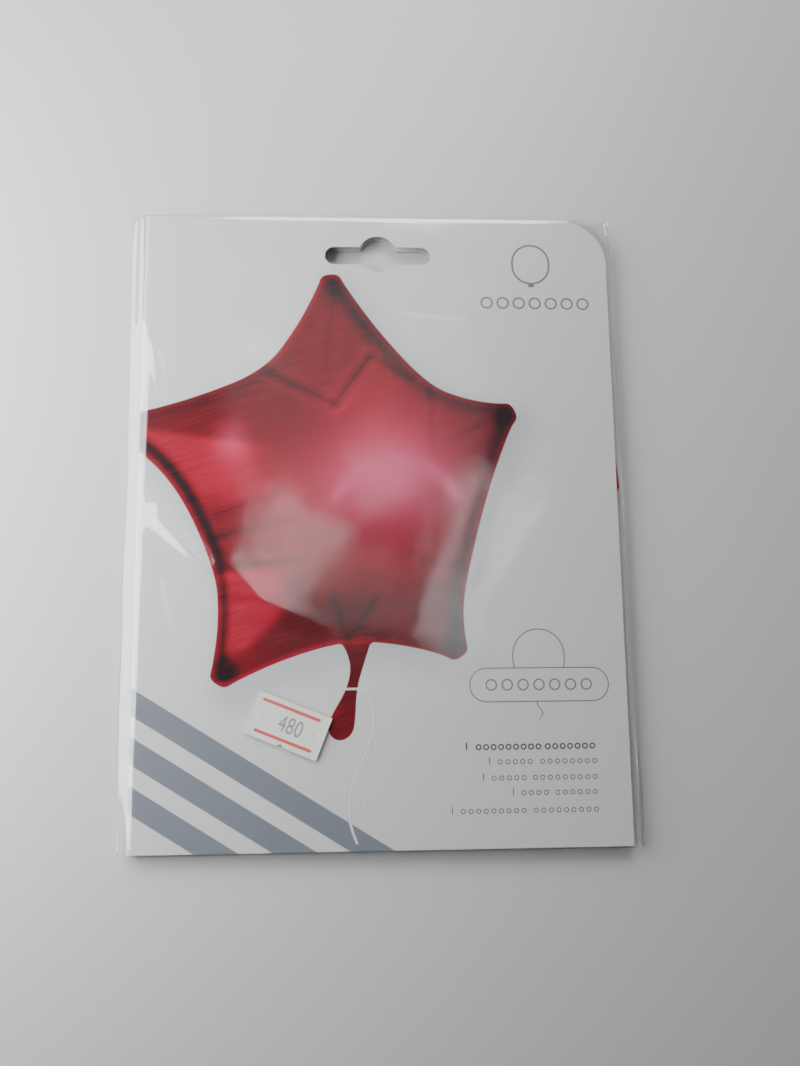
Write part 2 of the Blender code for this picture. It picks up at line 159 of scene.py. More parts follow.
def add(tree, kind, inputs=None, **settings):
    """Add a node with its settings and inputs."""
    node = tree.nodes.new(kind)
    for name, value in settings.items():
        setattr(node, name, value)
    for name, value in (inputs or {}).items():
        fill(node.inputs[name], value, tree)
    return node


def maths(tree, operation, *values, clamp=False):
    """Return the result of a math node."""
    node = add(tree, "ShaderNodeMath", operation=operation, use_clamp=clamp)
    for socket, value in zip(node.inputs, values):
        fill(socket, value, tree)
    return node.outputs[0]


def vectors(tree, operation, *values):
    """Return the result of a vector math node, or its length."""
    node = add(tree, "ShaderNodeVectorMath", operation=operation)
    for socket, value in zip(node.inputs, values):
        fill(socket, value, tree)
    return node.outputs["Value" if operation in ("LENGTH", "DOT_PRODUCT") else "Vector"]


def soft_step(tree, value, low, high):
    """Return 0 below low and 1 above high, with a smooth rise between."""
    node = add(tree, "ShaderNodeMapRange", interpolation_type="SMOOTHSTEP")
    for name, item in (("Value", value), ("From Min", low), ("From Max", high)):
        fill(node.inputs[name], item, tree)
    return node.outputs["Result"]


def blend_colour(tree, share, first, second):
    """Return a blend of two colours."""
    node = add(tree, "ShaderNodeMix", data_type="RGBA")
    fill(node.inputs[0], share, tree)
    fill(node.inputs[6], (*first, 1.0) if isinstance(first, tuple) else first, tree)
    fill(node.inputs[7], (*second, 1.0) if isinstance(second, tuple) else second, tree)
    return node.outputs[2]


def noise(tree, place, scale, detail=2.0, roughness=0.5):
    """Return a noise pattern's value."""
    node = add(tree, "ShaderNodeTexNoise", {"Vector": place, "Scale": scale})
    node.inputs["Detail"].default_value = detail
    node.inputs["Roughness"].default_value = roughness
    return node.outputs["Fac"]


def bump(tree, height, distance, strength=1.0):
    """Return a normal that follows a small relief."""
    node = add(tree, "ShaderNodeBump", {"Height": height, "Distance": distance, "Strength": strength})
    return node.outputs["Normal"]


def new_material(name):
    """Return an empty node material with its tree and output."""
    material = bpy.data.materials.new(name)
    material.use_nodes = True
    tree = material.node_tree
    tree.nodes.clear()
    return material, tree, add(tree, "ShaderNodeOutputMaterial")


def coat(tree, output, inputs):
    """Finish a material with a Principled surface."""
    surface = add(tree, "ShaderNodeBsdfPrincipled", inputs)
    tree.links.new(surface.outputs[0], output.inputs["Surface"])


def object_place(tree):
    """Return the Object coordinates."""
    return add(tree, "ShaderNodeTexCoord").outputs["Object"]


def new_object(name, shape, materials=()):
    """Make a bmesh an object of the scene."""
    mesh = bpy.data.meshes.new(name)
    shape.to_mesh(mesh)
    shape.free()
    for material in materials:
        mesh.materials.append(material)
    made = bpy.data.objects.new(name, mesh)
    bpy.context.scene.collection.objects.link(made)
    return made


def new_piece(name, shape, materials, node=None):
    """Make a bmesh a finished piece of the pack."""
    piece = new_object(name, shape, materials)
    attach(piece, "root")
    if node:
        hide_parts(node)
    return piece


def smooth(piece):
    """Shade every face of a piece smoothly."""
    piece.data.polygons.foreach_set("use_smooth", [True] * len(piece.data.polygons))


def bulge(x, y):
    """Return how far the soft balloon lifts the front at a place, nothing at the card's edges."""
    card = bpy.context.scene.pack_card
    left = CARD_LOW[0] + 0.5 * card.pitch
    across = (x - left) / (card.width - 0.5 * card.pitch)
    along = y / card.height + 0.5
    if not (0.0 < across < 1.0 and 0.0 < along < 1.0):
        return 0.0
    return BULGE_HEIGHT * math.sin(math.pi * across) * math.sin(math.pi * along)


def zigzag(length, left, right, base, pitch, runs):
    """Return x and z at a length along a strip folded back and forth between left and right."""
    radius = 0.5 * pitch
    straight = right - left - pitch
    stride = straight + math.pi * radius
    run = min(max(int(length // stride), 0), runs - 1)
    along = length - run * stride
    level = base + run * pitch
    start, heading = (right - radius, -1.0) if run % 2 == 0 else (left + radius, 1.0)
    if along <= straight or run == runs - 1:
        return start + heading * along, level
    angle = (along - straight) / radius
    return start + heading * (straight + radius * math.sin(angle)), level + radius * (1.0 - math.cos(angle))


def spread(parts):
    """Return places from stretches of (start, end, count), each start included and the last end."""
    places = []
    for start, end, count in parts:
        places += [start + (end - start) * step / count for step in range(count)]
    return places + [parts[-1][1]]


def grid_sheet(columns, rows):
    """Return a bmesh grid, one unit between lines, and its vertices by column and row."""
    shape = bmesh.new()
    bmesh.ops.create_grid(shape, x_segments=columns, y_segments=rows, size=0.5)
    spots = {(round((v.co.x + 0.5) * columns), round((v.co.y + 0.5) * rows)): v for v in shape.verts}
    return shape, spots


def set_attribute(piece, name, values):
    """Store one number for each vertex of a piece."""
    attribute = piece.data.attributes.new(name, "FLOAT", "POINT")
    attribute.data.foreach_set("value", np.asarray(values, dtype=np.float32))


def thicken(piece, name, thickness, offset):
    """Give a sheet its thickness, and return the modifier."""
    wall = piece.modifiers.new(name, "SOLIDIFY")
    wall.thickness = thickness
    wall.offset = offset
    return wall


def punch(piece, cutter, operation="DIFFERENCE"):
    """Cut one piece's mesh with another object."""
    cut = piece.modifiers.new(cutter.name, "BOOLEAN")
    cut.operation = operation
    cut.solver = "EXACT"
    cut.object = cutter


def apply_modifiers(piece):
    """Give a piece the mesh that its modifiers make."""
    graph = bpy.context.evaluated_depsgraph_get()
    made = bpy.data.meshes.new_from_object(piece.evaluated_get(graph), preserve_all_data_layers=True, depsgraph=graph)
    old = piece.data
    piece.modifiers.clear()
    piece.data = made
    made.name = piece.name
    bpy.data.meshes.remove(old)


def slot_cutters():
    """Make the two cutters of the hang slot: the long hole and its hump."""
    level = 0.5 * SLOT_HEIGHT
    long_hole = bmesh.new()
    bmesh.ops.create_cube(long_hole, size=1.0)
    bmesh.ops.scale(long_hole, verts=long_hole.verts, vec=(SLOT_WIDTH, SLOT_HEIGHT, CUT_REACH))
    upright = [e for e in long_hole.edges if abs(e.verts[0].co.z - e.verts[1].co.z) > 0.5 * CUT_REACH]
    bmesh.ops.bevel(
        long_hole, geom=upright, offset=0.999 * level, affect="EDGES", segments=10, profile=0.5, material=-1
    )
    bmesh.ops.translate(long_hole, verts=long_hole.verts, vec=(CARD_SHIFT, SLOT_LEVEL, 0.0))
    hump = bmesh.new()
    bmesh.ops.create_cone(
        hump, cap_ends=True, segments=64, radius1=SLOT_HUMP_RADIUS, radius2=SLOT_HUMP_RADIUS, depth=CUT_REACH
    )
    hump_level = SLOT_LEVEL + level + SLOT_HUMP_RISE - SLOT_HUMP_RADIUS
    bmesh.ops.translate(hump, verts=hump.verts, vec=(CARD_SHIFT, hump_level, 0.0))
    return [new_object("slot_cutter", long_hole), new_object("hump_cutter", hump)]


def finish_cuts(piece, cutters):
    """Apply a piece's modifiers, remove its cutters and shade it smoothly between sharp edges."""
    apply_modifiers(piece)
    for cutter in cutters:
        bpy.data.objects.remove(cutter, do_unlink=True)
    smooth(piece)
    piece.data.set_sharp_from_angle(angle=SHARP_ANGLE)


# Printed star, in millimetres from the card's middle: tips and notches from the top round clockwise
STAR_MIDDLE = (-9.0, 8.0)
STAR_TIPS = ((-14.2, 71.6), (37.4, 30.8), (21.0, -37.8), (-44.4, -44.8), (-73.4, 27.4))
STAR_NOTCHES = ((14.9, 39.5), (25.3, -15.3), (-9.2, -35.4), (-46.8, -15.4), (-33.7, 44.2))
STAR_NUB = 3.6
# How far the sides bow in before each tip, and after every tip
STAR_HOLLOWS = (1.6, 1.6, 1.6, 1.6, 6.2)
STAR_HOLLOW = 1.6
NECK = ((-13.0, -33.0), (-8.4, -41.0), (-9.4, -48.6), (-15.2, -58.0), (-14.6, -62.0), (-11.5, -63.6),
        (-8.2, -61.6), (-7.4, -58.0), (-7.0, -48.8), (-4.6, -41.0), (-2.0, -33.0))
FIELD_LEFT = -84.0
FIELD_RIGHT = 72.0
FIELD_LOW = -94.0
FIELD_HIGH = 94.0
FIELD_STEP = 1.0
EDGE_OFFSET = 6.0


def rounded_loop(points, rounds):
    """Cut the corners of a closed line again and again, so that it turns smoothly."""
    line = np.array(points, dtype=float)
    for _ in range(rounds):
        following = np.roll(line, -1, axis=0)
        line = np.stack((0.75 * line + 0.25 * following, 0.25 * line + 0.75 * following), axis=1).reshape(-1, 2)
    return line


def star_loop():
    """Return the printed star's outline."""
    points = []
    middle = Vector(STAR_MIDDLE)
    for index, spot in enumerate(STAR_TIPS):
        tip = Vector(spot)
        axis = (tip - middle).normalized()
        side = Vector((-axis.y, axis.x))
        before = Vector(STAR_NOTCHES[index - 1])
        after = Vector(STAR_NOTCHES[index])
        left = tip + STAR_NUB * side
        right = tip - STAR_NUB * side
        hollow_left = left.lerp(before, 0.5) - STAR_HOLLOWS[index] * side
        hollow_right = right.lerp(after, 0.5) + STAR_HOLLOW * side
        crown = [tip + STAR_NUB * (0.85 * axis + 0.75 * side), tip + STAR_NUB * (0.85 * axis - 0.75 * side)]
        points += [hollow_left, left, *crown, right, hollow_right, after]
    return rounded_loop(points, 3)


def depth_in(loop, x, y):
    """Return how deep places lie in a closed outline, negative outside."""
    nearest = np.full(x.shape, 1.0e6)
    within = np.zeros(x.shape, dtype=bool)
    for (ax, ay), (bx, by) in zip(loop, np.roll(loop, -1, axis=0)):
        run_x, run_y = bx - ax, by - ay
        share = np.clip(((x - ax) * run_x + (y - ay) * run_y) / (run_x ** 2 + run_y ** 2), 0.0, 1.0)
        nearest = np.minimum(nearest, np.hypot(x - ax - share * run_x, y - ay - share * run_y))
        if ay != by:
            within ^= ((ay > y) != (by > y)) & (x < run_x * (y - ay) / run_y + ax)
    return np.where(within, nearest, -nearest)


def rise(value, low, high):
    """Return a smooth rise from 0 at low to 1 at high."""
    share = np.clip((value - low) / (high - low), 0.0, 1.0)
    return share * share * (3.0 - 2.0 * share)


def left_of(x, y, start, end, soft):
    """Return 1 on the left of a line and 0 on its right, with a soft change."""
    run_x, run_y = end[0] - start[0], end[1] - start[1]
    off = (run_x * (y - start[1]) - run_y * (x - start[0])) / math.hypot(run_x, run_y)
    return rise(off, -soft, soft)


def glow(x, y, at_x, at_y, reach_x, reach_y, turn=0.0):
    """Return a soft oval light at one place."""
    cosine, sine = math.cos(turn), math.sin(turn)
    across = ((x - at_x) * cosine + (y - at_y) * sine) / reach_x
    along = ((y - at_y) * cosine - (x - at_x) * sine) / reach_y
    return np.exp(-(across ** 2 + along ** 2))


def line_off(x, y, start, end):
    """Return the distance from a short straight line."""
    run_x, run_y = end[0] - start[0], end[1] - start[1]
    share = np.clip(((x - start[0]) * run_x + (y - start[1]) * run_y) / (run_x ** 2 + run_y ** 2), 0.0, 1.0)
    return np.hypot(x - start[0] - share * run_x, y - start[1] - share * run_y)


# Soft ovals of light and shade in the star: middle, reach, turn and strength
STAR_GLOWS = (
    (1.0, 15.0, 22.0, 17.0, 0.15, 1.10),
    (0.0, 33.0, 11.0, 13.0, -0.3, 0.20),
    (-30.0, 9.0, 17.0, 8.0, -0.5, 0.34),
    (-28.0, -7.0, 13.0, 11.0, 0.2, 0.30),
    (-13.0, 53.0, 7.0, 14.0, 0.1, 0.10),
    (2.0, -14.0, 20.0, 9.0, 0.1, 0.22),
    (-12.0, -27.0, 17.0, 8.0, 0.15, -0.24),
    (30.0, 22.0, 10.0, 9.0, 0.0, -0.16),
    (19.0, -28.0, 8.0, 13.0, 0.1, -0.16),
    (-43.0, 22.5, 4.5, 5.5, 0.3, 0.42),
    (-43.6, -43.8, 2.9, 2.7, 0.0, -0.95),
    (20.4, -36.6, 2.9, 2.7, 0.0, -0.60),
    (36.6, 30.2, 2.6, 3.0, 0.0, -0.60),
    (-14.0, 69.8, 3.3, 2.4, 0.0, -0.50),
)
# Fine creases of the star: both ends and depth of tone
STAR_CREASES = (
    ((-33.7, 44.3), (-13.3, 33.9), 0.26),
    ((-13.0, 33.9), (-2.8, 48.4), 0.34),
    ((-2.6, 48.8), (9.0, 41.5), 0.16),
    ((15.2, 39.0), (15.7, 18.0), 0.16),
    ((-47.5, 1.0), (-27.5, 7.7), 0.22),
    ((-48.5, -6.0), (-26.0, -0.6), 0.20),
    ((-47.5, -15.0), (-23.1, -12.2), 0.26),
    ((-45.5, -23.0), (-30.0, -23.8), 0.14),
    ((25.2, -15.3), (9.0, -11.0), 0.14),
    ((-9.2, -35.4), (-14.0, -22.0), 0.16),
    ((-9.2, -35.4), (-1.0, -23.0), 0.14),
    ((34.0, 30.0), (17.0, 21.0), 0.10),
    ((-13.6, 67.0), (-16.0, 44.0), 0.10),
)
CREASE_WIDTH = 0.26
BASE_TONE = 0.50
# Straight edges of the lit facets, each from one end to the other
FACET_LEFT = ((-13.0, 33.9), (-2.8, 48.6))
FACET_RIGHT = ((-1.5, 49.5), (15.0, 26.0))
LEFT_ARM_EDGE = ((-70.0, 26.6), (-40.0, 22.5))
LOWER_ARM_EDGE = ((-45.0, -45.5), (-25.5, -25.0))
# Bright arc in the star's middle: middle, flattening and radius
ARC_MIDDLE = (5.0, 0.5)
ARC_STRETCH = 1.15
ARC_RADIUS = 16.0
# Where the star's soft shadow on the card is moved to
SHADE_MOVE = (3.0, -3.5)


def star_fields():
    """Work out the printed star on a fine lattice: depth, tone, pink and soft shadow."""
    x_line = np.arange(FIELD_LEFT, FIELD_RIGHT + FIELD_STEP, FIELD_STEP)
    y_line = np.arange(FIELD_LOW, FIELD_HIGH + FIELD_STEP, FIELD_STEP)
    x, y = np.meshgrid(x_line, y_line, indexing="ij")
    loop = star_loop()
    star = depth_in(loop, x, y)
    neck = depth_in(rounded_loop(NECK, 2), x, y)
    depth = np.maximum(star, neck)
    out_x, out_y = np.gradient(-star, FIELD_STEP)
    tone = BASE_TONE + 0.0 * x
    for at_x, at_y, reach_x, reach_y, turn, strength in STAR_GLOWS:
        tone += strength * glow(x, y, at_x, at_y, reach_x, reach_y, turn)

    facet = left_of(x, y, *FACET_LEFT, -1.0) * left_of(x, y, *FACET_RIGHT, -3.0)
    tone += 0.18 * facet * rise(y, 26.0, 38.0)
    left_arm = left_of(x, y, *LEFT_ARM_EDGE, -1.3)
    tone += 0.62 * left_arm * rise(-x, 26.0, 44.0) * rise(star, 3.2, 6.0) * rise(y, -1.0, 9.0)
    wedge = left_of(x, y, *LOWER_ARM_EDGE, 1.6) * rise(star, 1.8, 3.4)
    wedge *= rise(-y, 12.0, 18.0) * rise(-x, 24.0, 31.0) * rise(y, -42.0, -36.0)
    tone += 0.66 * wedge

    lower_side = rise(-0.80 * out_x - 0.45 * out_y, 0.35, 0.70) * rise(-x, 30.0, 36.0)
    tone -= 0.62 * lower_side * rise(star, 0.8, 1.9) * rise(-star, -4.6, -3.2) * (1.0 - 0.9 * wedge)
    bright_rim = np.clip(rise(-out_y, 0.0, 0.5) + rise(-out_x, 0.5, 0.9), 0.0, 1.0) * rise(-x, -24.0, 20.0)
    tone += (0.06 + 0.45 * bright_rim) * rise(-star, -1.5, -0.7) * rise(star, -1.0, 0.0)
    tone -= 0.18 * rise(-star, -6.0, -1.5) * (1.0 - bright_rim) * rise(star, 0.6, 1.6)
    right_rim = rise(out_x + 0.4 * out_y, 0.4, 0.8)
    tone -= 0.22 * right_rim * rise(-star, -7.0, -2.0) * rise(star, 0.8, 2.0)
    for start, end, strength in STAR_CREASES:
        off = line_off(x, y, start, end)
        tone -= 0.8 * strength * np.exp(-(off / 1.5) ** 2)
        tone += 0.5 * strength * np.exp(-((off - 2.4) / 1.2) ** 2)
    arc_off = np.abs(np.hypot((x - ARC_MIDDLE[0]) / ARC_STRETCH, y - ARC_MIDDLE[1]) - ARC_RADIUS)
    arc_light = np.exp(-(arc_off / 1.6) ** 2) * rise(y, 2.0, 9.0)
    tone += 0.34 * arc_light

    in_neck = rise(neck - star, -1.0, 1.0) * rise(-y, 36.0, 40.0)
    neck_tone = 0.42 + 0.30 * glow(x, y, -13.6, -56.0, 1.5, 6.0, -0.25) + 0.10 * rise(-y, 52.0, 60.0)
    tone = tone * (1.0 - in_neck) + neck_tone * in_neck
    pink = glow(x, y, 3.0, 11.0, 17.0, 13.0, 0.2) + 0.95 * arc_light + 0.5 * glow(x, y, -43.0, 22.5, 4.0, 5.0)
    moved = depth_in(loop, x - SHADE_MOVE[0], y - SHADE_MOVE[1])
    return {
        "star_edge": np.clip(depth, -EDGE_OFFSET, 60.0) + EDGE_OFFSET,
        "star_tone": np.clip(tone, 0.0, TONE_LIMIT),
        "star_pink": np.clip(pink, 0.0, 1.0),
        "star_shade": rise(moved, -8.0, 3.0),
    }


def sample(field, x, y):
    """Read a lattice at one place, blended between its nearest points."""
    across = min(max((x - FIELD_LEFT) / FIELD_STEP, 0.0), field.shape[0] - 1.001)
    along = min(max((y - FIELD_LOW) / FIELD_STEP, 0.0), field.shape[1] - 1.001)
    i, j = int(across), int(along)
    s, t = across - i, along - j
    low = (1.0 - s) * field[i, j] + s * field[i + 1, j]
    high = (1.0 - s) * field[i, j + 1] + s * field[i + 1, j + 1]
    return (1.0 - t) * low + t * high


def pill(tree, place, middle, half, radius):
    """Return the distance from a rectangle with round corners."""
    off = vectors(tree, "ABSOLUTE", vectors(tree, "SUBTRACT", place, (*middle, 0.0)))
    over = vectors(tree, "SUBTRACT", off, (half[0] - radius, half[1] - radius, 1.0))
    reach = vectors(tree, "LENGTH", vectors(tree, "MAXIMUM", over, (0.0, 0.0, 0.0)))
    return maths(tree, "SUBTRACT", reach, radius)


def segment(tree, place, start, end):
    """Return the distance from a short straight line."""
    run = Vector((end[0] - start[0], end[1] - start[1], 0.0))
    from_start = vectors(tree, "SUBTRACT", place, (*start, 0.0))
    share = vectors(tree, "DOT_PRODUCT", from_start, tuple(run / run.length_squared))
    share = maths(tree, "MULTIPLY", share, 1.0, clamp=True)
    along = add(tree, "ShaderNodeVectorMath", operation="SCALE")
    along.inputs[0].default_value = run
    fill(along.inputs["Scale"], share, tree)
    return vectors(tree, "LENGTH", vectors(tree, "SUBTRACT", from_start, along.outputs[0]))


def outline_of(tree, distance, width):
    """Turn the distance from a shape into the distance from a line along its edge."""
    return maths(tree, "SUBTRACT", maths(tree, "ABSOLUTE", distance), 0.5 * width)


def nearest_of(tree, distances):
    """Return the smallest of several distances."""
    result = distances[0]
    for distance in distances[1:]:
        result = maths(tree, "MINIMUM", result, distance)
    return result


def ring_row(tree, across, along, start, spacing, count, level, radius, width):
    """Return the distance from a row of small rings."""
    place = maths(tree, "SUBTRACT", across, start - 0.5 * spacing)
    within = maths(tree, "SUBTRACT", maths(tree, "MODULO", place, spacing), 0.5 * spacing)
    spot = add(tree, "ShaderNodeCombineXYZ", {"X": within, "Y": maths(tree, "SUBTRACT", along, level)}).outputs[0]
    ring = outline_of(tree, maths(tree, "SUBTRACT", vectors(tree, "LENGTH", spot), radius), width)
    half = 0.5 * spacing * count
    middle = start - 0.5 * spacing + half
    beyond = maths(tree, "SUBTRACT", maths(tree, "ABSOLUTE", maths(tree, "SUBTRACT", across, middle)), half)
    return maths(tree, "MAXIMUM", ring, beyond)


# Rows of small rings in place of the printed lines: level, ring radius, line width, place of the
# short upright stroke that starts the row, and each group's first ring and number of rings
TEXT_ROWS = (
    (-65.5, 0.66, 0.40, 23.6, ((27.0, 9), (46.6, 7))),
    (-69.6, 0.58, 0.24, 30.0, ((33.0, 5), (45.0, 8))),
    (-74.0, 0.58, 0.24, 28.2, ((31.2, 5), (42.8, 9))),
    (-78.1, 0.58, 0.24, 36.5, ((39.4, 4), (49.0, 6))),
    (-82.9, 0.58, 0.24, 19.3, ((22.4, 9), (42.8, 9))),
)
TEXT_SPACING = 2.12
BAND_TURN = math.radians(31.6)
BAND_STARTS = (9.6, 20.8, 32.0)
BAND_WIDTH = 6.4
# Printed ribbon's strands: middle, reach, pace, phase, width and both ends along the card
RIBBONS = ((-6.0, 3.4, 0.13, 1.2, 0.55, -91.0, -51.0), (-4.4, 2.3, 0.10, 0.9, 0.3, -84.0, -53.0))
# Heights between which the board's print starts, above its plain back
FRONT_START = (1.2 * MM, 1.6 * MM)
# Half width of the soft change at a printed edge
SHARP = 0.07
# Line width of the printed frames, and of the balloon outline
FRAME_LINE = 0.34
OUTLINE_LINE = 0.6
# Frames with round corners: middle, half size and corner radius
PILL_FRAME = ((44.8, -48.3), (19.9, 4.7), 4.69)
DOME_FRAME = ((44.8, -40.6), (7.4, 8.0), 7.39)
BALLOON_OUTLINE = ((46.6, 78.6), (5.6, 6.2), 5.59)
BALLOON_KNOT = ((46.6, 71.7), (1.0, 0.5), 0.4)
TIE = ((-7.4, -49.0), (3.2, 0.34), 0.33)
DOME_FOOT = -43.6
# Rows of larger rings: first ring, spacing, number, level, radius and line width
RING_ROWS = ((31.0, 4.55, 7, -48.3, 1.45, 0.42), (32.8, 4.9, 7, 66.0, 1.65, 0.55))
# Printed string under the pill frame: middle, reach, pace, half width, level and half length
STRING = (44.8, 0.7, 1.2, 0.17, -55.6, 2.5)
RIBBON_START = -60.0
RIBBON_GREY = (0.36, 0.39, 0.42)
RIBBON_WHITE = (0.74, 0.76, 0.78)
TIE_WHITE = (0.72, 0.74, 0.76)
SHADE_GREY = (0.38, 0.41, 0.45)
# Middle stops of the star's colours
STAR_STOPS = ((0.20, (0.085, 0.007, 0.011)), (0.42, (0.20, 0.009, 0.017)))
STAR_RED_STOP = 0.66
TONE_LIMIT = 1.6
WRINKLE_TURN = math.radians(-18.0)


def band_distance(tree, across, along):
    """Return the distance from the slanting bands of the lower left corner."""
    from_left = maths(tree, "MULTIPLY", maths(tree, "ADD", across, 70.0), math.sin(BAND_TURN))
    from_corner = maths(tree, "MULTIPLY_ADD", maths(tree, "ADD", along, 93.0), math.cos(BAND_TURN), from_left)
    bands = []
    for start in BAND_STARTS:
        off = maths(tree, "SUBTRACT", from_corner, start + 0.5 * BAND_WIDTH)
        bands.append(maths(tree, "SUBTRACT", maths(tree, "ABSOLUTE", off), 0.5 * BAND_WIDTH))
    return nearest_of(tree, bands)


def thin_line_distance(tree, place, across, along):
    """Return the distance from the thin frames, ring rows, balloon outline and string."""
    thin = [
        outline_of(tree, pill(tree, place, *PILL_FRAME), FRAME_LINE),
        outline_of(tree, pill(tree, place, *BALLOON_OUTLINE), OUTLINE_LINE),
        pill(tree, place, *BALLOON_KNOT),
    ]
    for row in RING_ROWS:
        thin.append(ring_row(tree, across, along, *row))
    dome = outline_of(tree, pill(tree, place, *DOME_FRAME), FRAME_LINE)
    thin.append(maths(tree, "MAXIMUM", dome, maths(tree, "SUBTRACT", DOME_FOOT, along)))
    middle, reach, pace, half_width, level, half_length = STRING
    wave = maths(tree, "MULTIPLY", maths(tree, "SINE", maths(tree, "MULTIPLY", along, pace)), reach)
    string = maths(tree, "ABSOLUTE", maths(tree, "SUBTRACT", maths(tree, "SUBTRACT", across, middle), wave))
    string = maths(tree, "SUBTRACT", string, half_width)
    beyond = maths(tree, "SUBTRACT", maths(tree, "ABSOLUTE", maths(tree, "SUBTRACT", along, level)), half_length)
    thin.append(maths(tree, "MAXIMUM", string, beyond))
    return nearest_of(tree, thin)


def text_row_distance(tree, place, across, along):
    """Return the distance from the rows of small rings and their short strokes."""
    marks = []
    for level, radius, width, stroke_x, groups in TEXT_ROWS:
        marks.append(pill(tree, place, (stroke_x, level + 0.3), (0.55 * width, 1.05), 0.5 * width))
        for start, count in groups:
            marks.append(ring_row(tree, across, along, start, TEXT_SPACING, count, level, radius, width))
    return nearest_of(tree, marks)


def ribbon_distance(tree, across, along):
    """Return the distance from the printed ribbon's strands."""
    strands = []
    for middle, reach, pace, phase, width, low, high in RIBBONS:
        curve = maths(tree, "SINE", maths(tree, "MULTIPLY_ADD", along, pace, phase - RIBBON_START * pace))
        off = maths(tree, "SUBTRACT", maths(tree, "SUBTRACT", across, middle), maths(tree, "MULTIPLY", curve, reach))
        off = maths(tree, "SUBTRACT", maths(tree, "ABSOLUTE", off), 0.5 * width)
        level = maths(tree, "SUBTRACT", along, 0.5 * (low + high))
        beyond = maths(tree, "SUBTRACT", maths(tree, "ABSOLUTE", level), 0.5 * (high - low))
        strands.append(maths(tree, "MAXIMUM", off, beyond))
    return nearest_of(tree, strands)


def star_foil(tree, place, edge, tone, pink):
    """Return the pictured foil's colour: red by its tone, with streaks, creases and a pink light."""
    card = bpy.context.scene.pack_card
    lean = add(tree, "ShaderNodeVectorRotate", {"Vector": place, "Angle": WRINKLE_TURN}, rotation_type="Z_AXIS")
    streaks = vectors(tree, "MULTIPLY", lean.outputs[0], (0.10, 0.55, 1.0))
    fine = maths(tree, "MULTIPLY_ADD", noise(tree, streaks, 1.0, 3.0), 0.26, -0.13)
    broad = maths(tree, "MULTIPLY_ADD", noise(tree, place, 0.07, 2.0), 0.24, -0.12)
    wrinkles = vectors(tree, "MULTIPLY", lean.outputs[0], (0.05, 1.5, 1.0))
    wrinkles = maths(tree, "MULTIPLY_ADD", noise(tree, wrinkles, 1.0, 2.0), 0.8, -0.40)
    near_seam = soft_step(tree, edge, EDGE_OFFSET + 22.0, EDGE_OFFSET + 3.0)
    wrinkles = maths(tree, "MULTIPLY", wrinkles, maths(tree, "MULTIPLY_ADD", near_seam, 0.45, 0.12))
    tone = maths(tree, "ADD", maths(tree, "ADD", tone, wrinkles), maths(tree, "ADD", fine, broad))
    for start, end, strength in STAR_CREASES:
        line = outline_of(tree, segment(tree, place, start, end), CREASE_WIDTH)
        line = maths(tree, "MULTIPLY", soft_step(tree, line, SHARP, -SHARP), 1.3 * strength)
        tone = maths(tree, "SUBTRACT", tone, line)
    ramp = add(tree, "ShaderNodeValToRGB", {"Fac": maths(tree, "DIVIDE", tone, TONE_LIMIT)})
    first, last = ramp.color_ramp.elements
    first.color = (*card.star_dark, 1.0)
    first.position = 0.02
    last.color = (*card.star_bright, 1.0)
    last.position = 1.0
    for position, shade in (*STAR_STOPS, (STAR_RED_STOP, tuple(card.star_red))):
        ramp.color_ramp.elements.new(position).color = (*shade, 1.0)
    return blend_colour(tree, maths(tree, "MULTIPLY", pink, 0.75), ramp.outputs[0], tuple(card.star_pink))


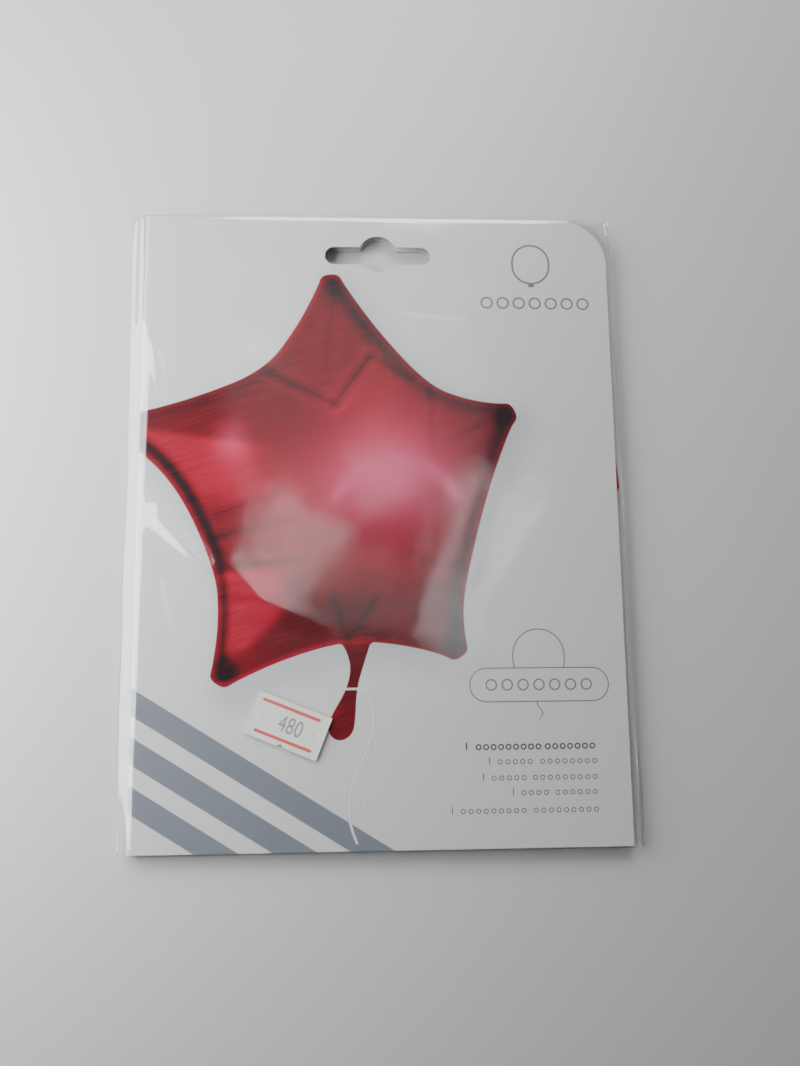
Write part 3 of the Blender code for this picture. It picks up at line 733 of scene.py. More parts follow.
def printed_board_material():
    """Make the coated board with the printed star, bands, thin lines, rows of rings and ribbon."""
    card = bpy.context.scene.pack_card
    material, tree, output = new_material("printed_board")
    place = vectors(tree, "SUBTRACT", object_place(tree), (CARD_SHIFT, 0.0, 0.0))
    place = vectors(tree, "MULTIPLY", place, (1000.0, 1000.0, 0.0))
    parts = add(tree, "ShaderNodeSeparateXYZ", {"Vector": place})
    across, along = parts.outputs["X"], parts.outputs["Y"]
    edge, tone, pink, shade = (
        add(tree, "ShaderNodeAttribute", attribute_name=name).outputs["Fac"]
        for name in ("star_edge", "star_tone", "star_pink", "star_shade")
    )

    mottle = noise(tree, place, 0.035, 2.0)
    colour = blend_colour(tree, mottle, tuple(0.985 * c for c in card.board_colour), tuple(card.board_colour))
    colour = blend_colour(tree, maths(tree, "MULTIPLY", shade, 0.55), colour, SHADE_GREY)
    band_share = soft_step(tree, band_distance(tree, across, along), SHARP, -SHARP)
    colour = blend_colour(tree, band_share, colour, tuple(card.slate))
    thin_share = soft_step(tree, thin_line_distance(tree, place, across, along), SHARP, -SHARP)
    colour = blend_colour(tree, thin_share, colour, tuple(card.line_grey))
    mark_share = soft_step(tree, text_row_distance(tree, place, across, along), SHARP, -SHARP)
    colour = blend_colour(tree, maths(tree, "MULTIPLY", mark_share, 0.95), colour, tuple(card.ink))
    ribbon_off = ribbon_distance(tree, across, along)
    ribbon_edge = maths(tree, "MULTIPLY", soft_step(tree, ribbon_off, 0.45, 0.05), 0.5)
    colour = blend_colour(tree, ribbon_edge, colour, RIBBON_GREY)
    ribbon_share = maths(tree, "MULTIPLY", soft_step(tree, ribbon_off, 2.0 * SHARP, -SHARP), 0.9)
    colour = blend_colour(tree, ribbon_share, colour, RIBBON_WHITE)
    star_share = soft_step(tree, edge, EDGE_OFFSET - 0.12, EDGE_OFFSET + 0.12)
    colour = blend_colour(tree, star_share, colour, star_foil(tree, place, edge, tone, pink))
    tie = soft_step(tree, pill(tree, place, *TIE), SHARP, -SHARP)
    colour = blend_colour(tree, maths(tree, "MULTIPLY", tie, 0.85), colour, TIE_WHITE)

    upper = add(tree, "ShaderNodeSeparateXYZ", {"Vector": object_place(tree)}).outputs["Z"]
    front = soft_step(tree, upper, *FRONT_START)
    colour = blend_colour(tree, front, tuple(card.board_colour), colour)
    rough = maths(tree, "MULTIPLY_ADD", noise(tree, place, 0.8, 3.0), 0.12, 0.40)
    normal = bump(tree, noise(tree, place, 3.0, 2.0), 0.02 * MM, 0.4)
    coat(tree, output, {"Base Color": colour, "Roughness": rough, "Specular IOR Level": 0.12, "Normal": normal})
    return material


def plain_board_material():
    """Make the uncoated inner side and cut edges of the board."""
    material, tree, output = new_material("plain_board")
    place = object_place(tree)
    fibres = noise(tree, vectors(tree, "MULTIPLY", place, (1500.0, 500.0, 1500.0)), 1.0, 4.0)
    colour = blend_colour(tree, fibres, (0.56, 0.55, 0.52), (0.64, 0.63, 0.60))
    coat(tree, output, {"Base Color": colour, "Roughness": 0.8, "Normal": bump(tree, fibres, 0.03 * MM, 0.5)})
    return material


def film_material():
    """Make the clear glossy film."""
    film = bpy.context.scene.pack_film
    material, tree, output = new_material("clear_film")
    place = object_place(tree)
    facing = add(tree, "ShaderNodeLayerWeight", {"Blend": 0.5}).outputs["Facing"]
    share = maths(tree, "MULTIPLY_ADD", maths(tree, "POWER", facing, 5.0), 0.94, 0.06)
    clear = add(tree, "ShaderNodeBsdfTransparent", {"Color": (*film.tint, 1.0)})
    relief = noise(tree, vectors(tree, "MULTIPLY", place, (90.0, 50.0, 90.0)), 1.0, 2.0)
    normal = bump(tree, relief, 0.12 * MM, 0.35)
    scuffs = noise(tree, place, 220.0, 3.0)
    rough = maths(tree, "MULTIPLY_ADD", scuffs, 0.05, 0.085)
    gloss = add(tree, "ShaderNodeBsdfGlossy", {"Roughness": rough, "Normal": normal})
    gloss.inputs["Color"].default_value = (1.0, 1.0, 1.0, 1.0)
    mix = add(tree, "ShaderNodeMixShader", {"Fac": share, 1: clear.outputs[0], 2: gloss.outputs[0]})
    tree.links.new(mix.outputs[0], output.inputs["Surface"])
    return material


def foil_material():
    """Make the crinkled red foil, with painted shade that darkens the red in the crinkles' hollows."""
    foil = bpy.context.scene.pack_foil
    material, tree, output = new_material("red_foil")
    place = object_place(tree)
    crinkle_and_shade = noise(tree, place, 260.0, 4.0, 0.6)
    # Painted shade: the red is darker where the crinkle relief is low
    colour = blend_colour(tree, crinkle_and_shade, tuple(0.7 * c for c in foil.colour), tuple(foil.colour))
    rough = maths(tree, "MULTIPLY_ADD", crinkle_and_shade, 0.14, 0.16)
    normal = bump(tree, crinkle_and_shade, 0.4 * MM, 0.6)
    coat(tree, output, {"Base Color": colour, "Metallic": 0.35, "Roughness": rough, "Normal": normal})
    return material


LABEL_X = CARD_LOW[0] + 43.8 * MM
LABEL_Y = CARD_LOW[1] + 34.2 * MM
LABEL_TURN = math.radians(-21.8)
# Printed stripes, in millimetres: half size with corner radius, and middles
STRIPE = ((8.6, 0.45), 0.44)
STRIPE_MIDDLES = ((-0.5, 4.4), (0.2, -4.3))
# Faint strokes beside the number, in millimetres: middle and half size
FAINT_MARKS = (
    ((-7.7, 0.2), (0.12, 0.75)), ((-7.0, -0.4), (0.5, 0.11)), ((-6.2, 0.3), (0.12, 0.6)),
    ((-5.5, 0.7), (0.4, 0.11)), ((7.7, 0.3), (0.12, 0.85)),
)


def label_material():
    """Make the label's paper with its two printed stripes."""
    label = bpy.context.scene.pack_label
    material, tree, output = new_material("label_paper")
    place = vectors(tree, "SUBTRACT", object_place(tree), (LABEL_X, LABEL_Y, 0.0))
    turned = add(tree, "ShaderNodeVectorRotate", {"Vector": place, "Angle": -LABEL_TURN}, rotation_type="Z_AXIS")
    place = vectors(tree, "MULTIPLY", turned.outputs[0], (1000.0, 1000.0, 0.0))
    fibres = noise(tree, place, 2.5, 4.0)
    paper = blend_colour(tree, fibres, tuple(0.94 * c for c in label.paper), tuple(label.paper))
    stripes = [pill(tree, place, middle, *STRIPE) for middle in STRIPE_MIDDLES]
    share = soft_step(tree, nearest_of(tree, stripes), SHARP, -SHARP)
    share = maths(tree, "MULTIPLY", share, maths(tree, "MULTIPLY_ADD", noise(tree, place, 3.0), 0.3, 0.8, clamp=True))
    colour = blend_colour(tree, share, paper, tuple(label.stripe))
    faint = [pill(tree, place, spot, half, 0.1) for spot, half in FAINT_MARKS]
    faint_share = maths(tree, "MULTIPLY", soft_step(tree, nearest_of(tree, faint), SHARP, -SHARP), 0.4)
    colour = blend_colour(tree, faint_share, colour, tuple(label.digits))
    coat(tree, output, {"Base Color": colour, "Roughness": 0.65, "Normal": bump(tree, fibres, 0.02 * MM, 0.5)})
    return material


def ink_material(name, colour):
    """Make stamped ink, a little uneven."""
    material, tree, output = new_material(name)
    uneven = noise(tree, object_place(tree), 2500.0, 3.0)
    shade = blend_colour(tree, uneven, tuple(0.8 * c for c in colour), tuple(min(1.0, 1.5 * c) for c in colour))
    coat(tree, output, {"Base Color": shade, "Roughness": 0.6})
    return material


def table_material():
    """Make the pale table top."""
    stage = bpy.context.scene.pack_stage
    material, tree, output = new_material("pale_table")
    place = object_place(tree)
    broad = noise(tree, place, 6.0, 2.0)
    colour = blend_colour(tree, broad, tuple(0.98 * c for c in stage.table), tuple(stage.table))
    rough = maths(tree, "MULTIPLY_ADD", noise(tree, place, 60.0, 3.0), 0.1, 0.38)
    normal = bump(tree, noise(tree, place, 900.0, 2.0), 0.05 * MM, 0.15)
    coat(tree, output, {"Base Color": colour, "Roughness": rough, "Normal": normal})
    return material


# Rows of the card's grid, and its columns across the back, round the fold and across the front
BOARD_ROWS = 186
BACK_COLUMNS, FOLD_COLUMNS, FRONT_COLUMNS = 20, 12, 138


class PACK_OT_card(bpy.types.Operator):
    """Make the printed card, folded at its left edge round the balloon"""

    bl_idname = "pack.card"
    bl_label = "Printed card"

    def execute(self, context):
        """Fold a flat board, print it, cut the slots and round the corner."""
        card = context.scene.pack_card
        pitch = card.pitch + card.board
        left = CARD_LOW[0]
        front_right = left + card.width
        straight = card.width - 0.5 * pitch
        turn = 0.5 * math.pi * pitch
        front = straight + turn
        end = front + straight
        lengths = spread(
            ((0.0, straight, BACK_COLUMNS), (straight, front, FOLD_COLUMNS), (front, end, FRONT_COLUMNS))
        )
        shape, spots = grid_sheet(len(lengths) - 1, BOARD_ROWS)
        fields = star_fields()
        values = {name: [0.0] * len(shape.verts) for name in fields}
        shape.verts.index_update()
        for (column, row), spot in spots.items():
            length = lengths[column]
            y = card.height * (row / BOARD_ROWS - 0.5)
            x, z = zigzag(length, left, front_right + 0.5 * pitch, card.level, pitch, 2)
            if length > front:
                z += bulge(x, y)
            spot.co = (x, y, z)
            if length > straight + 0.5 * turn:
                flat_x = (length - end + 0.5 * card.width) / MM
                for name, field in fields.items():
                    values[name][spot.index] = sample(field, flat_x, y / MM)
        shape.normal_update()
        if max(shape.faces, key=lambda face: face.calc_center_median().z).normal.z < 0.0:
            bmesh.ops.reverse_faces(shape, faces=shape.faces)
        piece = new_piece(
            "printed_card", shape, (printed_board_material(), plain_board_material()), "card"
        )
        for name, numbers in values.items():
            set_attribute(piece, name, numbers)
        wall = thicken(piece, "board", card.board, -1.0)
        wall.material_offset = 1
        wall.material_offset_rim = 1
        cutters = slot_cutters()
        for cutter in cutters:
            punch(piece, cutter)
        block = bmesh.new()
        bmesh.ops.create_cube(block, size=1.0)
        bmesh.ops.scale(block, verts=block.verts, vec=(2.0 * card.width, 2.0 * card.height, CUT_REACH))
        top = 0.5 * card.height + CUT_CLEARANCE
        right = front_right + CUT_CLEARANCE
        bmesh.ops.translate(block, verts=block.verts, vec=(right - card.width, top - card.height, 0.0))
        edge = [
            e for e in block.edges
            if all(v.co.x > front_right and v.co.y > 0.5 * card.height for v in e.verts)
        ]
        bmesh.ops.bevel(
            block, geom=edge, offset=card.corner, affect="EDGES", segments=24, profile=0.5, material=-1
        )
        corner = new_object("corner_block", block)
        punch(piece, corner, "INTERSECT")
        finish_cuts(piece, cutters + [corner])
        return {"FINISHED"}


# Folded foil: margins to the card's edges and its one corner past the card's right edge
FOIL_LEFT = CARD_LOW[0] + 11.5 * MM
FOIL_RIGHT = CARD_LOW[0] + 133.5 * MM
FOIL_LOW, FOIL_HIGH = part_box("folded_balloon")
FOIL_PITCH = 0.5 * MM
FOIL_TIP_Y = 9.0 * MM
FOIL_TIP_LEAN = 0.09
FOIL_CREASE = 0.06 * MM
FOIL_ROWS = 50
# Columns along each straight run, round each fold and along the last run
FOIL_COLUMNS = (34, 8, 60)


class PACK_OT_foil(bpy.types.Operator):
    """Make the folded balloon between the card's panels"""

    bl_idname = "pack.foil"
    bl_label = "Folded foil"

    def execute(self, context):
        """Fold a flat sheet of foil back and forth, cut to its corner."""
        foil = context.scene.pack_foil
        bottom, top = FOIL_LOW[1], FOIL_HIGH[1]
        straight = FOIL_RIGHT - FOIL_LEFT - FOIL_PITCH
        stride = straight + 0.5 * math.pi * FOIL_PITCH
        last = (foil.runs - 1) * stride
        flat_end = last + FOIL_HIGH[0] - FOIL_LEFT - 0.5 * FOIL_PITCH
        parts = []
        for run in range(foil.runs - 1):
            parts.append((run * stride, run * stride + straight, FOIL_COLUMNS[0]))
            parts.append((run * stride + straight, (run + 1) * stride, FOIL_COLUMNS[1]))
        parts.append((last, flat_end, FOIL_COLUMNS[2]))
        lengths = spread(parts)
        shape, spots = grid_sheet(len(lengths) - 1, FOIL_ROWS)
        for (column, row), spot in spots.items():
            spot.co = (lengths[column], bottom + (top - bottom) * row / FOIL_ROWS, 0.0)
        lean = FOIL_TIP_LEAN * (top - FOIL_TIP_Y)
        for start, finish in (
            ((last + 0.5 * straight, bottom), (flat_end, FOIL_TIP_Y)),
            ((flat_end, FOIL_TIP_Y), (flat_end - lean, top)),
        ):
            along = Vector((finish[0] - start[0], finish[1] - start[1], 0.0))
            everything = list(shape.verts) + list(shape.edges) + list(shape.faces)
            bmesh.ops.bisect_plane(
                shape, geom=everything, plane_co=(*start, 0.0), plane_no=(along.y, -along.x, 0.0), clear_outer=True
            )
        base = FOIL_LOW[2] + 0.5 * foil.thickness
        for spot in shape.verts:
            length, y = spot.co.x, spot.co.y
            x, z = zigzag(length, FOIL_LEFT, FOIL_RIGHT, base, FOIL_PITCH, foil.runs)
            share = (z - base) / ((foil.runs - 1) * FOIL_PITCH)
            crease = FOIL_CREASE * math.sin(210.0 * x + 3.0 * math.sin(90.0 * y)) * math.sin(170.0 * y + 1.3)
            spot.co = (x, y, z + share * bulge(x, y) + crease)
        piece = new_piece("balloon_foil", shape, (foil_material(),), "folded_balloon")
        thicken(piece, "plies", foil.thickness, 0.0)
        smooth(piece)
        return {"FINISHED"}


# Soft waves of the front film: length in millimetres, heading in degrees, phase and share
FILM_WAVES = ((46.0, 28.0, 0.4, 0.42), (31.0, -52.0, 1.9, 0.30), (23.0, 74.0, 3.1, 0.20), (15.0, 12.0, 5.0, 0.10))
# Long low creases: both ends in millimetres from the card's middle, height and width in millimetres
FILM_CREASES = (
    (-63.6, 0.6, -50.8, -12.6, 1.15, 2.8),
    (-64.0, -18.0, -57.0, -48.0, 0.20, 1.8),
    (-44.0, -12.0, -33.8, -23.7, 0.16, 3.4),
    (-33.8, -23.7, -17.3, -30.9, 0.16, 3.4),
    (31.0, 16.0, 9.0, -34.0, 0.06, 5.0),
    (43.0, 8.0, 26.0, -24.0, -0.07, 4.0),
    (2.0, 63.0, 28.0, 60.0, 0.10, 4.0),
    (-66.0, 50.0, -63.0, 34.0, 0.22, 1.6),
    (58.0, 86.0, 67.0, 74.0, 0.12, 2.0),
)
# How much a crease narrows and sinks towards its second end
CREASE_TAPER = 0.35
FILM_EDGE_FADE = 5.0 * MM
FADE_REACH = 2.0 * MM
WELD_THICKNESS = 0.2 * MM
FILM_FOLD = 0.6 * MM
LAY_GAP = 0.3 * MM
FILM_DROP_X = CARD_LOW[0] + 3.6 * MM
FILM_DROP = 0.70 * MM
CORNER_SAG = 1.7 * MM
DROP_END = (48.0, 64.0)
WELD_CLEAR = (52.0, 64.0)
LOWEST_RELIEF = -0.2 * MM
# Side welds, left and right: middle and lean in millimetres, and waves of height, pace and phase
WELD_LINES = {
    -1: (-72.95, -0.45, ((0.22, 58.0, 0.6), (0.16, 131.0, 0.0))),
    1: (73.0, -0.85, ((0.20, 66.0, 0.0), (0.14, 149.0, 1.0))),
}
# Soft waves of the loose film beside the card: height in millimetres and pace
DRAPE_WAVES = ((0.3, 74.0), (0.16, 163.0))
# Share of the loose film's width where the weld starts, and steps of the film's grid
WELD_START = 0.86
LOOSE_STEPS = 6
NEAR_SHARE = 0.03
NEAR_STEPS = 7
FILM_COLUMNS = 100
FILM_ROWS = 132
FOLD_STEPS = 4


def film_relief(x, y):
    """Return the small rise and fall of the front film over the card."""
    film = bpy.context.scene.pack_film
    card = bpy.context.scene.pack_card
    across, along = (x - CARD_SHIFT) / MM, y / MM
    waves = 0.0
    for length, heading, phase, share in FILM_WAVES:
        turn = math.radians(heading)
        waves += share * math.sin(math.tau * (across * math.cos(turn) + along * math.sin(turn)) / length + phase)
    creases = 0.0
    for ax, ay, bx, by, height, width in FILM_CREASES:
        run_x, run_y = bx - ax, by - ay
        share = ((across - ax) * run_x + (along - ay) * run_y) / (run_x ** 2 + run_y ** 2)
        near = min(max(share, 0.0), 1.0)
        off = math.hypot(across - ax - near * run_x, along - ay - near * run_y)
        reach = width * (1.0 - CREASE_TAPER * near)
        creases += height * MM * (1.0 - CREASE_TAPER * near * near) * math.exp(-(off / reach) ** 2)
    inward = min(0.5 * card.width - abs(x - CARD_SHIFT) + FADE_REACH, 0.5 * card.height - abs(y))
    fade = min(max(inward / FILM_EDGE_FADE, 0.0), 1.0)
    fade *= fade * (3.0 - 2.0 * fade)
    total = film.ripple * waves + creases
    return fade * max(total, LOWEST_RELIEF)


def corner_sag(x, y):
    """Return how far the front film sinks outside the card's round corner."""
    card = bpy.context.scene.pack_card
    across = x - (CARD_LOW[0] + card.width - card.corner)
    along = y - (0.5 * card.height - card.corner)
    if across <= 0.0 or along <= 0.0:
        return 0.0
    past = math.hypot(across, along) - card.corner
    return CORNER_SAG * float(rise(past, 0.3 * MM, 5.0 * MM))


class PACK_OT_film(bpy.types.Operator):
    """Make the clear film bag with its hang slot"""

    bl_idname = "pack.film"
    bl_label = "Film bag"

    def execute(self, context):
        """Roll a grid into a flat tube round the card and weld its sides."""
        film = context.scene.pack_film
        card = context.scene.pack_card
        top_level = card.level + card.pitch + card.board + LAY_GAP + film.thickness
        weld_level = 0.5 * top_level
        half_height = BAG_HIGH[1]
        flat_left = CARD_LOW[0] - LAY_GAP
        flat_right = CARD_LOW[0] + card.width + LAY_GAP

        def edge_x(side, y):
            """Return the wavy line of one side weld."""
            middle, lean, waves = WELD_LINES[side]
            wave = sum(height * math.sin(pace * y + phase) for height, pace, phase in waves)
            return (middle + lean * y / half_height + wave) * MM

        steps = range(1, LOOSE_STEPS)
        columns = [(-1, 0.0)] + [(-1, 1.0 - WELD_START * (1.0 - step / LOOSE_STEPS)) for step in (0, *steps)]
        columns += [(0, NEAR_SHARE * step / NEAR_STEPS) for step in range(NEAR_STEPS)]
        columns += [(0, NEAR_SHARE + (1.0 - NEAR_SHARE) * step / FILM_COLUMNS) for step in range(FILM_COLUMNS + 1)]
        columns += [(1, WELD_START * step / LOOSE_STEPS) for step in (*steps, LOOSE_STEPS)] + [(1, 1.0)]
        half_ring = [(-1, math.pi - QUARTER * step / FOLD_STEPS) for step in range(FOLD_STEPS)]
        half_ring += [(0, row / FILM_ROWS) for row in range(FILM_ROWS + 1)]
        half_ring += [(1, QUARTER - QUARTER * step / FOLD_STEPS) for step in range(1, FOLD_STEPS + 1)]
        ring = [(-1.0, *item) for item in half_ring] + [(1.0, *item) for item in reversed(half_ring)]
        shape, spots = grid_sheet(len(columns) - 1, len(ring))

        def spot_on(column, row):
            """Return the place of one grid point on the bag."""
            zone, share = columns[column]
            side, part, item = ring[row % len(ring)]
            height = half_height * (part or 2.0 * item - 1.0)
            openness = 1.0
            if zone:
                past = 1.0 - share if zone < 0 else share
                slope = min(past / WELD_START, 1.0)
                openness = 0.5 + 0.5 * math.cos(math.pi * slope)
                if zone < 0:
                    clear = float(rise(height / MM, *WELD_CLEAR))
                    openness = clear * openness + (1.0 - clear) * (1.0 - slope)
            low = (weld_level - 0.5 * WELD_THICKNESS) * (1.0 - openness)
            high = top_level * openness + (weld_level + 0.5 * WELD_THICKNESS) * (1.0 - openness)
            radius = min(FILM_FOLD, 0.45 * (high - low))
            reach = half_height - radius
            if part:
                y = part * reach + radius * math.cos(item)
                z = radius * math.sin(item)
            else:
                y = -reach + 2.0 * reach * item
                z = radius
            if zone < 0:
                x = edge_x(-1, y) * (1.0 - share) + flat_left * share
            elif zone > 0:
                x = flat_right * (1.0 - share) + edge_x(1, y) * share
            else:
                x = flat_left + (flat_right - flat_left) * share
            (long_wave, long_pace), (short_wave, short_pace) = DRAPE_WAVES
            drape = long_wave * math.sin(long_pace * y + 1.1 * zone) + short_wave * math.sin(short_pace * y)
            drape *= (1.0 - openness) * MM
            z = (low + radius if side < 0.0 else high - radius) + side * z + drape
            if side > 0.0:
                z += bulge(x, y) + film_relief(x, y)
                near_fold = min(max((FILM_DROP_X - x) / (FILM_DROP_X - flat_left), 0.0), 1.0)
                lower = float(1.0 - rise(y / MM, *DROP_END))
                z -= (FILM_DROP * lower * near_fold ** 3 + corner_sag(x, y)) * openness
            return (x, y, z)

        for (column, row), spot in spots.items():
            spot.co = spot_on(column, row)
        bmesh.ops.remove_doubles(shape, verts=shape.verts, dist=0.001 * MM)
        for side in (-1, 1):
            rim = [e for e in shape.edges if e.is_boundary and side * e.verts[0].co.x > 0.0]
            ends = [e for e in rim if abs(e.verts[0].co.y - e.verts[1].co.y) < 0.001 * MM]
            bmesh.ops.bridge_loops(shape, edges=[e for e in rim if e not in ends])
        bmesh.ops.recalc_face_normals(shape, faces=shape.faces)
        piece = new_piece("film_bag", shape, (film_material(),), "bag")
        thicken(piece, "film", film.thickness, -1.0)
        cutters = slot_cutters()
        for cutter in cutters:
            punch(piece, cutter)
        finish_cuts(piece, cutters)
        # Shadows through many clear layers would turn black
        piece.visible_shadow = False
        return {"FINISHED"}


LABEL_LEVEL = 4.0 * MM
LABEL_THICKNESS = 0.1 * MM
LABEL_COLUMNS, LABEL_ROWS = 44, 26
# Lift of the label's two ends, and share of its half width where the lift starts
LABEL_CURL = 0.10 * MM
CURL_START = 0.8
# Cuts in the label's edge: name, place across, side, half width and depth
LABEL_CUTS = (
    ("notch_cutter", 0.2 * MM, -1.0, 0.75 * MM, 0.75 * MM),
    ("slit_cutter", -0.4 * MM, 1.0, 0.13 * MM, 1.1 * MM),
)
DIGIT_SIZE = 6.6 * MM
DIGIT_THICKNESS = 0.02 * MM
DIGIT_NARROW = 0.72
DIGIT_SHIFT = (0.9 * MM, -0.2 * MM)


def on_label(across, along, height):
    """Return the place on the turned label of a place in its own frame."""
    cosine, sine = math.cos(LABEL_TURN), math.sin(LABEL_TURN)
    x = LABEL_X + across * cosine - along * sine
    y = LABEL_Y + across * sine + along * cosine
    return (x, y, LABEL_LEVEL + bulge(x, y) + height)


class PACK_OT_label(bpy.types.Operator):
    """Make the price label and its stamped number"""

    bl_idname = "pack.label"
    bl_label = "Price label"

    def execute(self, context):
        """Lay a small paper rectangle on the film, cut its notch and slit, and stamp it."""
        label = context.scene.pack_label
        shape, spots = grid_sheet(LABEL_COLUMNS, LABEL_ROWS)
        for (column, row), spot in spots.items():
            across = label.width * (column / LABEL_COLUMNS - 0.5)
            along = label.height * (row / LABEL_ROWS - 0.5)
            curl = max(0.0, abs(across) / (0.5 * label.width) - CURL_START) / (1.0 - CURL_START)
            spot.co = on_label(across, along, LABEL_CURL * curl + 0.5 * LABEL_THICKNESS)
        piece = new_piece("label_paper", shape, (label_material(),), "price_label")
        thicken(piece, "paper", LABEL_THICKNESS, 0.0)
        cutters = []
        for name, across, side, half_width, reach in LABEL_CUTS:
            hole = bmesh.new()
            bmesh.ops.create_cone(
                hole, cap_ends=True, segments=24, radius1=half_width, radius2=half_width, depth=CUT_REACH
            )
            bmesh.ops.scale(hole, verts=hole.verts, vec=(1.0, reach / half_width, 1.0))
            for spot in hole.verts:
                x, y, _ = on_label(across + spot.co.x, 0.5 * side * label.height + spot.co.y, 0.0)
                spot.co = (x, y, spot.co.z)
            cutters.append(new_object(name, hole))
            punch(piece, cutters[-1])
        finish_cuts(piece, cutters)

        text = bpy.data.curves.new("label_digits", "FONT")
        text.body = label.number
        text.size = DIGIT_SIZE
        text.align_x = "CENTER"
        text.align_y = "CENTER"
        text.extrude = 0.5 * DIGIT_THICKNESS
        text.resolution_u = 4
        stamp = bpy.data.objects.new("label_digits_text", text)
        context.scene.collection.objects.link(stamp)
        graph = context.evaluated_depsgraph_get()
        mesh = bpy.data.meshes.new_from_object(stamp.evaluated_get(graph))
        bpy.data.objects.remove(stamp, do_unlink=True)
        digits = bmesh.new()
        digits.from_mesh(mesh)
        for spot in digits.verts:
            across, along, height = spot.co
            across, along = DIGIT_NARROW * across + DIGIT_SHIFT[0], along + DIGIT_SHIFT[1]
            spot.co = on_label(across, along, LABEL_THICKNESS + DIGIT_THICKNESS + height)
        bmesh.ops.remove_doubles(digits, verts=digits.verts, dist=0.0005 * MM)
        bmesh.ops.recalc_face_normals(digits, faces=digits.faces)
        new_piece("label_digits", digits, (ink_material("stamp_ink", label.digits),))
        return {"FINISHED"}


TABLE_HALF = 1.5
TABLE_GAP = 0.02 * MM
# Surroundings: pale colour, brightness added at the horizon and the height where that ends
ROOM_COLOUR = (0.97, 0.985, 1.0, 1.0)
HORIZON_GLOW = 0.55
HORIZON_END = 0.42
# Lamps: name, place, aim or none for straight down, size, turn in degrees, setting and share of it
LAMPS = (
    ("low_window", (-0.222, 0.036, 0.122), (-0.03, 0.0, 0.0), (0.30, 0.20), 0.0, "windows", 0.88),
    ("high_window", (0.03, 0.425, 0.305), (-0.02, 0.05, 0.0), (0.24, 0.24), 0.0, "windows", 1.0),
    ("ceiling_panel", (0.0, 0.42, 1.05), None, (0.45, 0.40), 0.0, "panels", 0.17),
    ("left_panel", (-0.125, 0.142, 1.0), None, (0.15, 0.155), -33.8, "panels", 1.0),
    ("low_panel", (0.150, 0.020, 1.0), None, (0.13, 0.11), 62.0, "panels", 0.9),
    ("lower_panel", (-0.005, 0.070, 1.01), None, (0.12, 0.12), 0.0, "panels", 0.25),
    ("middle_panel", (0.04, 0.26, 1.02), None, (0.13, 0.10), 20.0, "panels", 0.30),
    ("right_panel", (0.165, 0.150, 1.0), None, (0.27, 0.07), 62.0, "panels", 0.9),
    ("wing_panel", (0.247, 0.142, 1.0), None, (0.20, 0.04), 57.6, "panels", 1.0),
    ("upper_panel", (0.128, 0.52, 1.0), None, (0.12, 0.035), 0.0, "panels", 1.0),
    ("corner_panel", (-0.176, 0.457, 1.0), None, (0.05, 0.05), 0.0, "panels", 1.0),
)
CAMERA_PLACE = (-8.98 * MM, -54.22 * MM, 291.12 * MM)
CAMERA_TURN = tuple(math.radians(angle) for angle in (9.833, -2.922, -0.689))
SENSOR_WIDTH = 36.0
NEAR_CLIP = 0.01


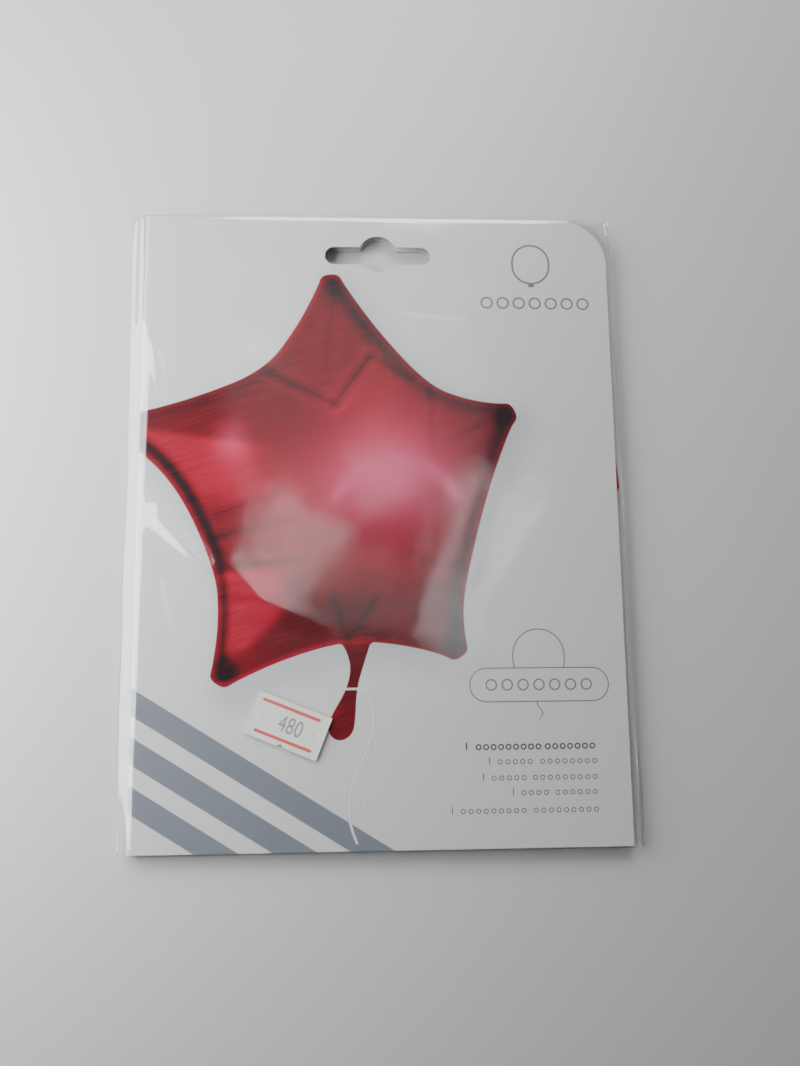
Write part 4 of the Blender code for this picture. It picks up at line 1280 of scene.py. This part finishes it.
class PACK_OT_stage(bpy.types.Operator):
    """Make the table, the lights and the camera"""

    bl_idname = "pack.stage"
    bl_label = "Table, lights and camera"

    def execute(self, context):
        """Set the pale table, the surroundings, the lamps and the camera."""
        scene = context.scene
        stage = scene.pack_stage
        shape = bmesh.new()
        bmesh.ops.create_grid(shape, x_segments=8, y_segments=8, size=TABLE_HALF)
        bmesh.ops.translate(shape, verts=shape.verts, vec=(0.0, 0.0, -TABLE_GAP))
        table = new_object("table_top", shape, (table_material(),))

        world = bpy.data.worlds.new("pale_room")
        world.use_nodes = True
        tree = world.node_tree
        backdrop = tree.nodes["Background"]
        backdrop.inputs["Color"].default_value = ROOM_COLOUR
        heading = add(tree, "ShaderNodeTexCoord").outputs["Generated"]
        level = add(tree, "ShaderNodeSeparateXYZ", {"Vector": heading}).outputs["Z"]
        horizon = soft_step(tree, level, HORIZON_END, 0.0)
        fill(backdrop.inputs["Strength"], maths(tree, "MULTIPLY_ADD", horizon, HORIZON_GLOW, stage.world), tree)
        scene.world = world

        for name, place, aim, size, turn, setting, share in LAMPS:
            light = bpy.data.lights.new(name, "AREA")
            light.shape = "RECTANGLE"
            light.size, light.size_y = size
            light.energy = math.pi * size[0] * size[1] * share * getattr(stage, setting)
            lamp = bpy.data.objects.new(name, light)
            lamp.location = place
            if aim:
                lamp.rotation_euler = (Vector(aim) - Vector(place)).to_track_quat("-Z", "Y").to_euler()
            else:
                lamp.rotation_euler = (0.0, 0.0, math.radians(turn))
            scene.collection.objects.link(lamp)

        lens = bpy.data.cameras.new("pack_camera")
        lens.sensor_width = SENSOR_WIDTH
        lens.lens = stage.lens
        lens.clip_start = NEAR_CLIP
        camera = bpy.data.objects.new("pack_camera", lens)
        camera.location = CAMERA_PLACE
        camera.rotation_euler = Euler(CAMERA_TURN, "XYZ")
        scene.collection.objects.link(camera)
        scene.camera = camera
        return {"FINISHED"}


OPERATORS = (PACK_OT_card, PACK_OT_foil, PACK_OT_film, PACK_OT_label, PACK_OT_stage)
SETTINGS = {
    "pack_card": PackCardSettings,
    "pack_film": PackFilmSettings,
    "pack_foil": PackFoilSettings,
    "pack_label": PackLabelSettings,
    "pack_stage": PackStageSettings,
}


class PACK_PT_panel(bpy.types.Panel):
    """Settings and buttons of the pack"""

    bl_idname = "PACK_PT_panel"
    bl_label = "Foil balloon pack"
    bl_space_type = "VIEW_3D"
    bl_region_type = "UI"
    bl_category = "Pack"

    def draw(self, context):
        """List each piece's settings and button."""
        for operator, (name, kind) in zip(OPERATORS, SETTINGS.items()):
            box = self.layout.box()
            settings = getattr(context.scene, name)
            for item in kind.__annotations__:
                box.prop(settings, item)
            box.operator(operator.bl_idname)


def register():
    """Register the classes and their settings."""
    for kind in (*SETTINGS.values(), *OPERATORS, PACK_PT_panel):
        bpy.utils.register_class(kind)
    for name, kind in SETTINGS.items():
        setattr(bpy.types.Scene, name, PointerProperty(type=kind))


def unregister():
    """Unregister the classes and their settings."""
    for name in SETTINGS:
        delattr(bpy.types.Scene, name)
    for kind in reversed((*SETTINGS.values(), *OPERATORS, PACK_PT_panel)):
        bpy.utils.unregister_class(kind)


def main():
    """Build the pack and its stage."""
    register()
    bpy.ops.pack.card()
    bpy.ops.pack.foil()
    bpy.ops.pack.film()
    bpy.ops.pack.label()
    bpy.ops.pack.stage()


if __name__ == "__main__":
    main()
